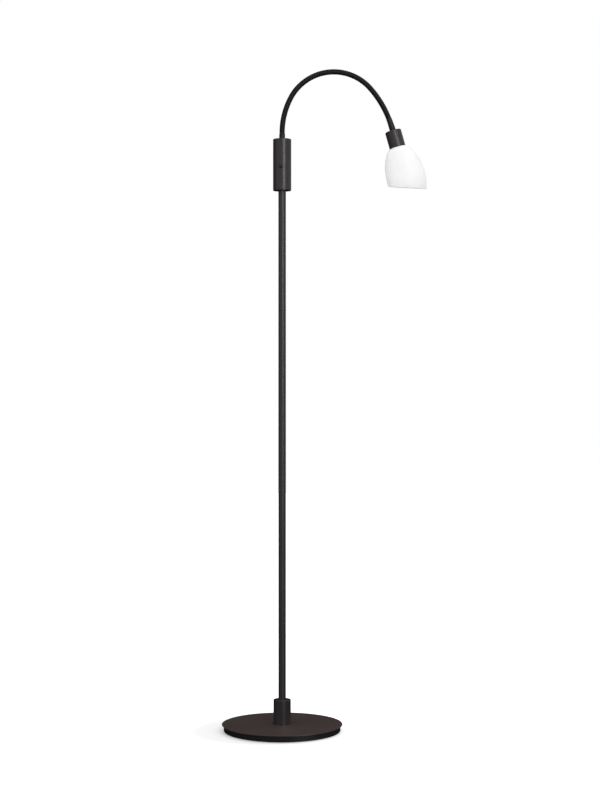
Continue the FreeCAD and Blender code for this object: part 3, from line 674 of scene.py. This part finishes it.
def turned_satin(name, colour, gloss, specular=0.5):
    """Satin paint on a turned part: clouds of tone over faint turning lines."""
    satin = Finish(name)
    clouds, grain, lines = satin.noise(30.0, 3.0), satin.noise(1100.0, 2.0), satin.lines("travel", 5200.0)
    satin.wear(
        Base_Color=satin.tint(clouds.ramp(0.3, 0.7), shaded(colour, 0.9), shaded(colour, 1.12)),
        Roughness=gloss + 0.09 * grain + 0.04 * lines,
    )
    satin.relief(grain * 0.6 + lines * 0.4, 0.00002, 0.35)
    satin.fixed(Specular_IOR_Level=specular)
    return satin.material


def opal_glass(name, colour):
    """Blown opal glass: cloudy white with light inside it, satin, its cut lip ground matt."""
    glass = Finish(name)
    clouds, ripple = glass.noise(14.0, 2.0), glass.noise(45.0, 1.0, (1.0, 1.0, 0.4))
    ground, seeds = glass.carried("lip"), glass.cells(190.0)
    seed = (1.0 - seeds.ramp(0.02, 0.05)) * 0.10
    tone = glass.tint(clouds.ramp(0.3, 0.7), shaded(colour, 0.985), shaded(colour, 1.015))
    glass.wear(
        Base_Color=glass.tint((ground * 0.8).most(seed), tone, shaded(colour, 0.80)),
        Roughness=0.38 + 0.05 * clouds + 0.3 * ground,
    )
    glass.relief(ripple, 0.0002, 0.15)
    glass.fixed(Subsurface_Weight=0.8, Subsurface_Radius=(1.0, 0.97, 0.93), Subsurface_Scale=0.012, IOR=1.5,
                Specular_IOR_Level=0.3)
    return glass.material


def frosted_bulb(name, colour):
    """Frosted bulb: even white with a fine etched grain."""
    bulb = Finish(name)
    etched, clouds = bulb.noise(2100.0, 2.0), bulb.noise(40.0, 2.0)
    bulb.wear(
        Base_Color=bulb.tint(clouds, shaded(colour, 0.97), shaded(colour, 1.03)),
        Roughness=0.34 + 0.12 * etched,
    )
    bulb.relief(etched, 0.00001, 0.2)
    bulb.fixed(Subsurface_Weight=0.25, Subsurface_Radius=(1.0, 0.97, 0.92), Subsurface_Scale=0.003)
    return bulb.material


FINISHES = {}


def finish_of(slot):
    return FINISHES[slot]


def dress(piece, slot, body, node):
    """Give a new piece its finish, the body that it rides on and the node that it stands for."""
    piece.data.materials.append(finish_of(slot))
    if body:
        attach(piece, body)
    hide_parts(node)


class LAMP_OT_finishes(bpy.types.Operator):
    """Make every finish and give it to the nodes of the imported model"""

    bl_idname = "lamp.finishes"
    bl_label = "Finishes"

    def execute(self, context):
        c = settings().colours
        FINISHES.update(
            painted_steel=powder_coat("painted_steel", c.paint, 0.26),
            # Lighter copy of the paint for the base's cover: painted light on its upward face.
            base_coat=powder_coat("base_coat", c.lit_base_paint, 0.30),
            cast_weight=cast_paint("cast_weight", c.cast),
            floor_felt=felt("floor_felt", c.felt),
            black_rubber=moulded("black_rubber", c.rubber, 0.62, 900.0),
            zinc_steel=plated("zinc_steel", c.zinc, 0.26, 0.5),
            black_plastic=moulded("black_plastic", c.plastic, 0.40),
            terminal_plastic=moulded("terminal_plastic", c.terminal, 0.45),
            neck_steel=wound_steel("neck_steel", c.neck),
            sleeve_steel=turned_satin("sleeve_steel", c.sleeve, 0.40, 0.3),
            cap_metal=turned_satin("cap_metal", c.cap, 0.34),
            brass=plated("brass", c.brass, 0.24, 0.7),
            bulb_metal=plated("bulb_metal", c.bulb_metal, 0.30, 0.3),
            bulb_glass=frosted_bulb("bulb_glass", c.bulb),
            opal_glass=opal_glass("opal_glass", c.opal),
        )
        for part in frame["record"]["subparts"]:
            node = frame["nodes"][part["node"]]
            if not node.material_slots:
                node.data.materials.append(None)
            for place in node.material_slots:
                place.material = finish_of(part["material_slot"])
        return {"FINISHED"}


# ------------------------------------------------------------------ pieces


class LAMP_OT_base(bpy.types.Operator):
    """Steel cover of the base with a fine rounded edge and the bevel under it"""

    bl_idname = "lamp.base"
    bl_label = "Base cover"

    def execute(self, context):
        base = settings().base
        low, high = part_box("base_cover")
        rim, hole = high.x, base.hole / 2
        outline = rounded((
            (hole, low.z, 0.0001),
            (rim - base.bevel, low.z, 0.0003),
            (rim, low.z + base.bevel, 0.0003),
            (rim, high.z, base.edge),
            (hole, high.z, 0.0001),
        ))
        cover = turned("base_cover_plate", outline, pole_place(), 192)
        dress(cover, "painted_steel", "stand", "base_cover")
        # The cover takes the lighter copy of the paint: painted light on its upward face.
        cover.data.materials[0] = finish_of("base_coat")
        return {"FINISHED"}


class LAMP_OT_switch(bpy.types.Operator):
    """Knurled nut, crowned push button and its return spring"""

    bl_idname = "lamp.switch"
    bl_label = "Switch"

    def execute(self, context):
        switch = settings().switch
        place = switch_place(switch)
        bore, rim, knurl_depth = 0.00325, switch.bezel_diameter / 2, 0.00016
        end = switch.face + switch.bezel_thickness
        outline = rounded((
            (bore, switch.face, 0.00008),
            (rim, switch.face, 0.00012),
            (rim, end, 0.00035),
            (bore, end, 0.00015),
        ))

        def knurl(a, across, along):
            """Ridges: -depth (1 - |sin(knurls a / 2)|) on the rim, none near the bore."""
            fade = np.clip((across - rim * 0.88) / (rim * 0.08), 0, 1)
            return -knurl_depth * (1 - np.abs(np.sin(a * switch.knurls / 2))) * fade

        nut = turned("switch_nut", outline, place, 224, knurl)
        dress(nut, "black_plastic", "stand", "switch_bezel")

        foot, shank = switch.button_foot / 2, switch.button_diameter / 2
        start, crown = switch.button_start, switch.button_end
        step, dome = start + 0.0012, crown - 0.00035
        outline = rounded((
            (0.0, start, 0.0),
            (foot, start, 0.0001),
            (foot, step, 0.0001),
            (shank, step, 0.00008),
            (shank, dome, 0.0004),
            (shank * 0.55, crown, 0.0012),
            (0.0, crown, 0.0),
        ), closed=False)
        button = turned("push_button", outline, place, 64, closed=False)
        dress(button, "black_plastic", "button", "switch_button")

        spring = self.spring(switch, place)
        dress(spring, "zinc_steel", "stand", "button_spring")
        origin, outward = place[0], place[3]
        low, high = switch.spring_floor, switch.button_start
        tuple(origin + outward * low)
        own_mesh(spring)
        return {"FINISHED"}

    @staticmethod
    def spring(switch, place):
        """Wire wound round the switch's axis.

        Centre = coil radius at angle 2 pi turns t, rising evenly with t. The wire's
        circle lies across the winding: outward and upward parts cos b and sin b
        times its radius, which falls to nothing at both ends.
        """
        origin, x, y, z = place
        turns, wire, gap = switch.spring_turns, switch.spring_wire / 2, 0.0001
        start = switch.spring_floor + wire + gap
        rise = switch.button_start - switch.spring_floor - 2 * wire - 2 * gap
        t = np.linspace(0, 1, turns * 40 + 1)
        a = 2 * np.pi * turns * t
        outward = np.cos(a)[:, None] * x + np.sin(a)[:, None] * y
        centre = origin + switch.spring_diameter / 2 * outward + (start + rise * t)[:, None] * z
        size = np.full(len(t), wire)
        size[[0, -1]] = 0.0
        b = -np.arange(10) / 10 * 2 * np.pi
        ring = np.cos(b)[:, None] * outward[:, None] + np.sin(b)[:, None] * z
        points = centre[:, None] + size[:, None, None] * ring
        piece = new_piece("return_spring", points, grid_faces(len(t), len(b), False))
        close_poles(piece)
        return piece


class LAMP_OT_neck(bpy.types.Operator):
    """Wound skin over the neck's hinges, and the sleeves at both of its ends"""

    bl_idname = "lamp.neck"
    bl_label = "Neck"

    def execute(self, context):
        neck = settings().neck
        whole = neck_length(neck)
        bodies = sorted(name for name in frame["bodies"] if name.startswith("neck_"))
        lengths = len(bodies)
        step = whole / lengths
        last_hinge = next(j for j in frame["joints"] if j["child"] == "head")
        spot = centreline(neck, whole)[0][0]
        if np.abs(spot - np.array(last_hinge["pos_m"])).max() > 1e-5:
            raise RuntimeError("the neck's bends don't end at the last hinge")

        gap, still, short_turn = 0.0003, 0.0008, 0.007
        for hinge in range(lengths + 1):
            first = -neck.shoulder if hinge == 0 else (hinge - 0.5) * step
            last = whole - gap if hinge == lengths else (hinge + 0.5) * step
            skin = self.skin(neck, f"neck_winding_{hinge:02d}", first, last, step / neck.turns)
            turning = [first + still, last - still]
            if hinge == 0:
                turning[1] = short_turn
            elif hinge == lengths:
                turning = [last - short_turn, last]
            ends = centreline(neck, turning)[0]
            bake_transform(skin)
            dress(skin, "neck_steel", None, f"neck_section_{min(hinge + 1, lengths):02d}")

        rim, bore, stub, nose = neck.lower_sleeve / 2, neck.bore / 2, 0.004, 0.0033
        stub_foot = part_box("neck_lower_sleeve")[0].z
        seat, shoulder, nose_end = stub_foot + 0.015, neck.foot - neck.shoulder, neck.foot + 0.0012
        outline = rounded((
            (bore, stub_foot, 0.0001),
            (stub, stub_foot, 0.0003),
            (stub, seat, 0.0001),
            (rim, seat, 0.0001),
            (rim, shoulder, 0.0007),
            (nose, shoulder, 0.0001),
            (nose, nose_end, 0.0002),
            (bore, nose_end, 0.0001),
        ))
        lower = turned("neck_foot_sleeve", outline, pole_place(), 72)
        dress(lower, "sleeve_steel", "stand", "neck_lower_sleeve")

        socket, socket_floor, tail = 0.0041, 0.0031, 0.0045
        reach, tail_end = neck.upper_length, neck.upper_length + 0.0058
        outline = rounded((
            (socket, 0.0, 0.0002),
            (neck.diameter / 2, 0.0, 0.0005),
            (neck.upper_sleeve / 2, reach, 0.0002),
            (tail, reach, 0.0001),
            (tail, tail_end, 0.0003),
            (bore, tail_end, 0.0001),
            (bore, socket_floor, 0.0001),
            (socket, socket_floor, 0.0001),
        ))
        upper = self.bent_sleeve(neck, "neck_end_sleeve", outline)
        dress(upper, "sleeve_steel", "head", "neck_upper_sleeve")
        return {"FINISHED"}

    @staticmethod
    def bent_sleeve(neck, name, outline):
        """An outline of (across, along) carried round the centreline from the last hinge on.

        Long sides of the outline are first cut into pieces of 2 mm or less, so that
        they follow the bend. Across is then each ring's radius, and along is its
        distance beyond the last hinge.
        """
        following = np.roll(outline, -1, axis=0)
        parts = []
        for first, last in zip(outline, following):
            pieces = int(np.linalg.norm(last - first) / 0.002) + 1
            parts.append(first + np.arange(pieces)[:, None] / pieces * (last - first))
        line = np.concatenate(parts)
        around = 72
        a = np.arange(around) / around * 2 * np.pi
        points = centreline_rings(neck, neck_length(neck) + line[:, 1], line[:, :1], a)
        travel = np.cumsum(np.linalg.norm(np.diff(line, axis=0, prepend=line[:1]), axis=1))
        return new_piece(name, points, grid_faces(len(line), around, True), travel=np.repeat(travel, around))

    @staticmethod
    def skin(neck, name, first, last, pitch):
        """One length of the winding between two distances along the centreline.

        Radius = crest - groove |2 p - 1| ** 5 with p the part of a turn, distance /
        pitch - a / 2 pi, so that the wire climbs in a helix.
        Normals come from the same formula one step beyond each end, so that two
        lengths meet without a seam.
        """
        around, rings = 48, int(round((last - first) / pitch * 13))
        stride = (last - first) / rings
        distance = first + stride * np.arange(-1, rings + 2)
        a = np.arange(around) / around * 2 * np.pi
        part = (distance[:, None] / pitch - a / (2 * np.pi)) % 1.0
        hollow = np.abs(2 * part - 1) ** 5
        crest = neck.diameter / 2
        outer = centreline_rings(neck, distance, crest - neck.groove * hollow, a)
        beside = np.roll(outer, -1, axis=1) - np.roll(outer, 1, axis=1)
        normals = np.cross(beside[1:-1], outer[2:] - outer[:-2])
        normals /= np.linalg.norm(normals, axis=-1, keepdims=True)
        outer, hollow = outer[1:-1], hollow[1:-1]
        back = np.linspace(last, first, 6)
        inner = centreline_rings(neck, back, np.full((len(back), around), neck.bore / 2), a)
        points = np.concatenate((outer, inner)).reshape(-1, 3)
        faces = grid_faces(len(outer) + len(inner), around, True)
        depth = np.concatenate((1 - hollow, np.zeros((len(inner), around))))
        piece = new_piece(name, points, faces, crest=depth)

        corner = points[faces]
        flat = np.cross(corner[:, 2] - corner[:, 0], corner[:, 3] - corner[:, 1])
        flat /= np.linalg.norm(flat, axis=-1, keepdims=True)
        by_corner = np.repeat(flat[:, None], 4, axis=1)
        skinned = faces.max(axis=1) < outer.shape[0] * around
        by_corner[skinned] = normals.reshape(-1, 3)[faces[skinned]]
        piece.data.normals_split_custom_set(by_corner.reshape(-1, 3).tolist())
        return piece


class LAMP_OT_holder(bpy.types.Operator):
    """Cap, threaded lampholder, the shade's holding ring and the bulb's screw cap"""

    bl_idname = "lamp.holder"
    bl_label = "Cap and lampholder"

    def execute(self, context):
        neck, head = settings().neck, settings().head
        place = head_place(neck)
        rim, wall, hole = head.cap_diameter / 2, head.cap_wall, 0.00455
        outline = rounded((
            (hole, 0.0, 0.0002),
            (rim, 0.0, head.cap_round),
            (rim, head.cap_length, 0.0004),
            (rim - wall, head.cap_length, 0.0003),
            (rim - wall, wall, 0.0012),
            (hole, wall, 0.0001),
        ), steps=8)
        dress(turned("holder_cap", outline, place, 128), "cap_metal", "head", "lampholder_cap")

        place = head_place(neck, head.holder_start)
        rim, flange, bore, hole = head.holder_diameter / 2, 0.0156, 0.0083, 0.00305
        floor, collar, collar_end, end = 0.0182, 0.0279, 0.0279 + 0.0027, 0.0446
        depth = 0.0007
        root = rim - depth
        top = rounded((
            (hole, 0.0, 0.0001),
            (rim, 0.0, 0.0006),
            (rim, collar, 0.0001),
            (flange, collar, 0.0003),
            (flange, collar_end, 0.0003),
            (root, collar_end, 0.0001),
            (root, end, 0.0006),
            (bore, end, 0.0004),
            (bore, floor, 0.0002),
            (hole, floor, 0.0001),
        ))
        thread = np.linspace(collar_end + 0.0005, end - 0.0012, 72)
        step = int(np.argmax((top[:, 1] > collar_end + depth / 2) & (np.abs(top[:, 0] - root) < 1e-6)))
        threaded = np.stack((np.full_like(thread, root), thread), axis=-1)
        outline = np.concatenate((top[:step], threaded, top[step:]))

        def screw(a, across, along):
            """The thread on the holder's outside, none in its bore."""
            ridges = thread_relief(a, along, head.holder_thread, depth, thread[[0, -1]], 0.001)
            return ridges * (across > root - 0.0001)

        dress(turned("holder_body", outline, place, 96, screw), "black_plastic", "head", "lampholder")

        place = head_place(neck, head.ring_start)
        rim, bore, thickness, grip_depth = head.ring_diameter / 2, 0.0141, 0.0034, 0.0008
        outline = rounded((
            (bore, 0.0, 0.0002),
            (rim, 0.0, 0.0004),
            (rim, thickness, 0.0006),
            (bore, thickness, 0.0003),
        ))

        def grips(a, across, along):
            """Finger grips: -depth cos(grips a / 2) ** 6 on the rim, none at the bore."""
            fade = np.clip((across - rim * 0.93) / (rim * 0.05), 0, 1)
            return -grip_depth * np.cos(a * head.ring_grips / 2) ** 6 * fade

        dress(turned("shade_holding_ring", outline, place, 192, grips), "black_plastic", "head", "shade_ring")

        place = head_place(neck, head.bulb_start)
        screw_start, screw_end, crest = 0.0042, 0.0215, 0.0007
        contact, insulator, body, skirt, end = 0.0024, 0.0031, 0.0063, 0.0069, 0.0240
        turns = np.linspace(screw_start, screw_end, 84)
        lower = rounded((
            (0.0, 0.0, 0.0),
            (contact, 0.0, 0.0006),
            (insulator, 0.0014, 0.0004),
            (body, 0.0030, 0.0006),
            (body, screw_start, 0.0),
        ), closed=False)
        upper = rounded((
            (body, screw_end, 0.0),
            (body, 0.0222, 0.0003),
            (skirt, 0.0228, 0.0004),
            (skirt, end, 0.0002),
            (0.0, end, 0.0),
        ), closed=False)
        threaded = np.stack((np.full_like(turns, body), turns), axis=-1)
        outline = np.concatenate((lower[:-1], threaded, upper[1:]))

        def knuckles(a, across, along):
            """The screw rolled into the bulb's cap."""
            return thread_relief(a, along, head.bulb_thread, crest, turns[[0, -1]], 0.0012)

        screw_cap = turned("bulb_screw_cap", outline, place, 72, knuckles, closed=False)
        dress(screw_cap, "bulb_metal", "head", "bulb_base")
        return {"FINISHED"}


class LAMP_OT_shade(bpy.types.Operator):
    """Opal glass bell with a slanting mouth and a rounded, ground lip"""

    bl_idname = "lamp.shade"
    bl_label = "Glass shade"

    @staticmethod
    def bell(shade, inset, samples):
        """The bell's outline moved in by an inset, as (across, along) from its top.

        Four tangent arcs. On each, with the slope falling from a to b: across
        grows by radius (cos slope - cos a) and along by radius (sin a - sin
        slope), the radius being less by the inset.
        """
        slope = shade.shoulder_angle
        start = np.array([shade.top_diameter / 2 - inset * math.cos(slope), inset * math.sin(slope)])
        stops = (
            (shade.shoulder_radius, shade.flank_angle),
            (shade.flank_radius, shade.belly_angle),
            (shade.belly_radius, 0.0),
            (shade.skirt_radius, -shade.skirt_angle),
        )
        parts = [start[None]]
        for radius, stop in stops:
            falling = np.linspace(slope, stop, samples + 1)[1:]
            grown = np.stack((np.cos(falling) - math.cos(slope), math.sin(slope) - np.sin(falling)), axis=-1)
            parts.append(start + (radius - inset) * grown)
            start, slope = parts[-1][-1], stop
        return np.concatenate(parts)

    @staticmethod
    def to_mouth(shade, line, a, back, rows):
        """The part of an outline above the slanting mouth, for every angle round the axis.

        The mouth is the plane along = axis length - across cos a tan(cut), less
        a setback. Each angle's outline is walked in even steps of its travel up to
        where it meets that plane.
        """
        travel = np.cumsum(np.linalg.norm(np.diff(line, axis=0, prepend=line[:1]), axis=1))
        slant = math.tan(shade.cut_angle)
        past = line[:, 1, None] + line[:, 0, None] * np.cos(a) * slant - shade.axis_length + back
        after = np.argmax(past > 0, axis=0)
        column = np.arange(len(a))
        low, high = past[after - 1, column], past[after, column]
        end = travel[after - 1] + (travel[after] - travel[after - 1]) * (-low / (high - low))
        wanted = np.linspace(0, 1, rows)[:, None] * end
        return np.stack([np.interp(wanted, travel, line[:, k]) for k in (0, 1)], axis=-1)

    def execute(self, context):
        neck, shade = settings().neck, settings().shade
        origin, x, y, z = head_place(neck, shade.start, shade.turn)
        around = 160
        a = np.arange(around) / around * 2 * np.pi
        back = shade.wall / 2 / math.cos(shade.cut_angle)
        outer = self.to_mouth(shade, self.bell(shade, 0.0, 60), a, back, 72)
        inner = self.to_mouth(shade, self.bell(shade, shade.wall, 60), a, back, 60)[::-1]

        onward = outer[-1] - outer[-2]
        onward /= np.linalg.norm(onward, axis=-1, keepdims=True)
        middle, half = (outer[-1] + inner[0]) / 2, (outer[-1] - inner[0]) / 2
        b = np.linspace(0, np.pi, 11)[1:-1, None, None]
        lip = middle + np.cos(b) * half + np.sin(b) * onward * shade.wall / 2

        def ring(across, along):
            return np.broadcast_to(np.array([across, along]), (1, around, 2))

        soft, inside = 0.0004, shade.wall * math.sin(shade.shoulder_angle)
        top = [ring(shade.hole, inside - soft), ring(shade.hole, soft), ring(shade.hole + soft, 0.0),
               ring(shade.top_diameter / 2 - soft, 0.0)]
        lines = np.concatenate([outer, lip, inner, ring(shade.hole + soft, inside)] + top)
        ground = np.zeros(lines.shape[:2])
        ground[len(outer):len(outer) + len(lip)] = 1.0
        turn = np.cos(a)[:, None] * x + np.sin(a)[:, None] * y
        points = origin + lines[..., :1] * turn + lines[..., 1:] * z
        glass = new_piece("opal_bell", points, grid_faces(len(lines), around, True), lip=ground)
        dress(glass, "opal_glass", "head", "glass_shade")
        return {"FINISHED"}


# ------------------------------------------------------------------ studio


class LAMP_OT_studio(bpy.types.Operator):
    """White floor and background, five soft lamps and the camera"""

    bl_idname = "lamp.studio"
    bl_label = "Studio"

    @staticmethod
    def lamp(name, place, aim, size, power, in_gloss=False):
        """A soft rectangular lamp that shines from one point towards another.

        It is seen either in gloss alone or by everything but gloss.
        """
        light = bpy.data.lights.new(name, "AREA")
        light.shape = "RECTANGLE"
        light.size, light.size_y = size
        light.energy = power
        lamp = bpy.data.objects.new(name, light)
        bpy.context.scene.collection.objects.link(lamp)
        lamp.location = place
        lamp.rotation_euler = (Vector(aim) - Vector(place)).to_track_quat("-Z", "Y").to_euler()
        lamp.visible_camera = False
        lamp.visible_glossy = in_gloss
        lamp.visible_diffuse = not in_gloss

    @staticmethod
    def seen(tree):
        """The three kinds of ray that see the background, each 0 or 1."""
        rays = tree.nodes.new("ShaderNodeLightPath").outputs
        kinds = ("Is Camera Ray", "Is Glossy Ray", "Is Transmission Ray")
        return [Number(tree, rays[kind]) for kind in kinds]

    def floor(self, studio):
        """A wide pale floor that turns white where it is seen and keeps the lamp's shadow.

        The white that is added grows with the distance from a spot a little left of the pole, so the floor
        round the base and at its left carries painted shade that deepens the lamp's shadow there.
        """
        side, level = 9.0, -0.0002
        corners = np.array([[x * side, y * side, level] for x, y in ((-1, -1), (1, -1), (1, 1), (-1, 1))])
        floor = new_piece("studio_floor", corners, np.array([[0, 1, 2, 3]]))
        paper = Finish("studio_paper")
        away = paper.node("ShaderNodeVectorMath", {"operation": "DISTANCE"},
                          {0: paper.place, 1: (-0.05, 0.0, 0.0)}).outputs["Value"]
        outskirts = Number(paper.tree, away).ramp(0.13, 0.27)
        near = paper.tint(paper.noise(240.0, 3.0), (0.53, 0.53, 0.53, 1.0), (0.55, 0.55, 0.55, 1.0))
        grey = paper.tint(outskirts, near, (0.52, 0.52, 0.52, 1.0))
        camera, glossy, through = self.seen(paper.tree)
        paper.wear(Base_Color=paper.tint(glossy, grey, (0.0, 0.0, 0.0, 1.0)))
        paper.fixed(Roughness=0.9, Specular_IOR_Level=0.0)
        # Less white is added near the base than further out: painted shade round the base and at its left.
        lift = studio.floor_lift + outskirts * (1.0 - studio.floor_lift)
        # Gloss sees a painted reflection of the key lamp's line on the floor.
        lift = lift * camera.most(through) + glossy * studio.reflected * self.painted_key_streak(paper)
        paper.wear(Emission_Color=paper.tint(lift, (0.0, 0.0, 0.0, 1.0), (1.0, 1.0, 1.0, 1.0)))
        paper.fixed(Emission_Strength=1.0)
        floor.data.materials.append(paper.material)

    @staticmethod
    def painted_key_streak(paper):
        """What gloss sees of the floor: a painted reflection, a bright strip that carries the key lamp's line
        on.

        0.02 everywhere, plus 1.30 where |0.90 x + 0.43 y| is under 0.06 of 0.43 x
        - 0.90 y, fading out at 0.30 of it.
        """
        split = paper.node("ShaderNodeSeparateXYZ", inputs={0: paper.place}).outputs
        x, y = Number(paper.tree, split["X"]), Number(paper.tree, split["Y"])
        aside, ahead = (x * 0.90 + y * 0.43), (x * 0.43 - y * 0.90).most(0.01)
        slope = aside / ahead
        return 0.02 + 1.30 * (1.0 - slope.most(slope * -1.0).ramp(0.06, 0.30))

    def world(self, studio):
        """An even surround, white where the camera or glass sees it.

        Gloss sees all of the reflected level in front and at the right. It falls to
        0.04 of that behind at the left, where 0.6 x - y of the direction goes from
        -0.2 to -0.7.
        """
        world = bpy.data.worlds.new("studio_surround")
        bpy.context.scene.world = world
        world.use_nodes = True
        tree = world.node_tree
        camera, glossy, through = self.seen(tree)
        plain = camera.most(through)
        way = tree.nodes.new("ShaderNodeTexCoord").outputs["Object"]
        split = tree.nodes.new("ShaderNodeSeparateXYZ")
        tree.links.new(way, split.inputs[0])
        right, back = Number(tree, split.outputs["X"]), Number(tree, split.outputs["Y"])
        open_side = 0.04 + 0.96 * (right * 0.6 - back).ramp(-0.7, -0.2)
        level = plain + glossy * studio.reflected * open_side + (1.0 - plain.most(glossy)) * studio.surround
        plug(tree, level, tree.nodes["Background"].inputs["Strength"])
        tree.nodes["Background"].inputs["Color"].default_value = (1.0, 1.0, 1.0, 1.0)

    def execute(self, context):
        studio = settings().studio
        self.floor(studio)
        self.world(studio)
        self.lamp("key_lamp", (1.45, -3.05, 1.7), (0.05, 0.0, 0.95), (0.50, 2.2), studio.key, in_gloss=True)
        self.lamp("right_lamp", (1.45, -3.05, 1.7), (0.05, 0.0, 0.95), (1.6, 1.6), studio.right)
        self.lamp("side_lamp", (2.7, -0.5, 1.3), (0.05, 0.0, 0.4), (0.9, 1.6), studio.side)
        self.lamp("front_lamp", (-2.5, -3.3, 1.9), (0.05, 0.0, 0.9), (2.6, 2.2), studio.front)
        self.lamp("overhead_lamp", (0.5, 0.1, 3.3), (0.1, 0.0, 0.0), (2.4, 2.4), studio.overhead)

        data = bpy.data.cameras.new("photograph_view")
        data.lens = studio.lens
        data.sensor_width = 36.0
        data.clip_end = 60.0
        camera = bpy.data.objects.new("photograph_view", data)
        context.scene.collection.objects.link(camera)
        camera.location = studio.camera
        camera.rotation_euler = (math.pi / 2, 0.0, 0.0)
        context.scene.camera = camera
        context.scene.view_settings.view_transform = "Standard"
        return {"FINISHED"}


# ------------------------------------------------------------------ add-on


class LAMP_PT_panel(bpy.types.Panel):
    """Reading lamp"""

    bl_idname = "LAMP_PT_panel"
    bl_label = "Reading Lamp"
    bl_space_type = "VIEW_3D"
    bl_region_type = "UI"
    bl_category = "Reading Lamp"

    def draw(self, context):
        lamp = context.scene.reading_lamp
        for operator in OPERATORS:
            self.layout.operator(operator.bl_idname)
        for name in ("base", "switch", "neck", "head", "shade", "colours", "studio"):
            group = getattr(lamp, name)
            box = self.layout.box()
            box.label(text=name.capitalize())
            for key in group.__annotations__:
                box.prop(group, key)


GROUPS = (
    BaseSizes, SwitchSizes, NeckSizes, HeadSizes, ShadeSizes, FinishColours, StudioLevels, LampSettings
)
OPERATORS = (
    LAMP_OT_finishes, LAMP_OT_base, LAMP_OT_switch, LAMP_OT_neck, LAMP_OT_holder, LAMP_OT_shade,
    LAMP_OT_studio,
)


def register():
    for each in GROUPS + OPERATORS + (LAMP_PT_panel,):
        bpy.utils.register_class(each)
    bpy.types.Scene.reading_lamp = bpy.props.PointerProperty(type=LampSettings)


def unregister():
    del bpy.types.Scene.reading_lamp
    for each in reversed(GROUPS + OPERATORS + (LAMP_PT_panel,)):
        bpy.utils.unregister_class(each)


def main():
    register()
    bpy.ops.lamp.finishes()
    bpy.ops.lamp.base()
    bpy.ops.lamp.switch()
    bpy.ops.lamp.neck()
    bpy.ops.lamp.holder()
    bpy.ops.lamp.shade()
    bpy.ops.lamp.studio()


if __name__ == "__main__":
    main()
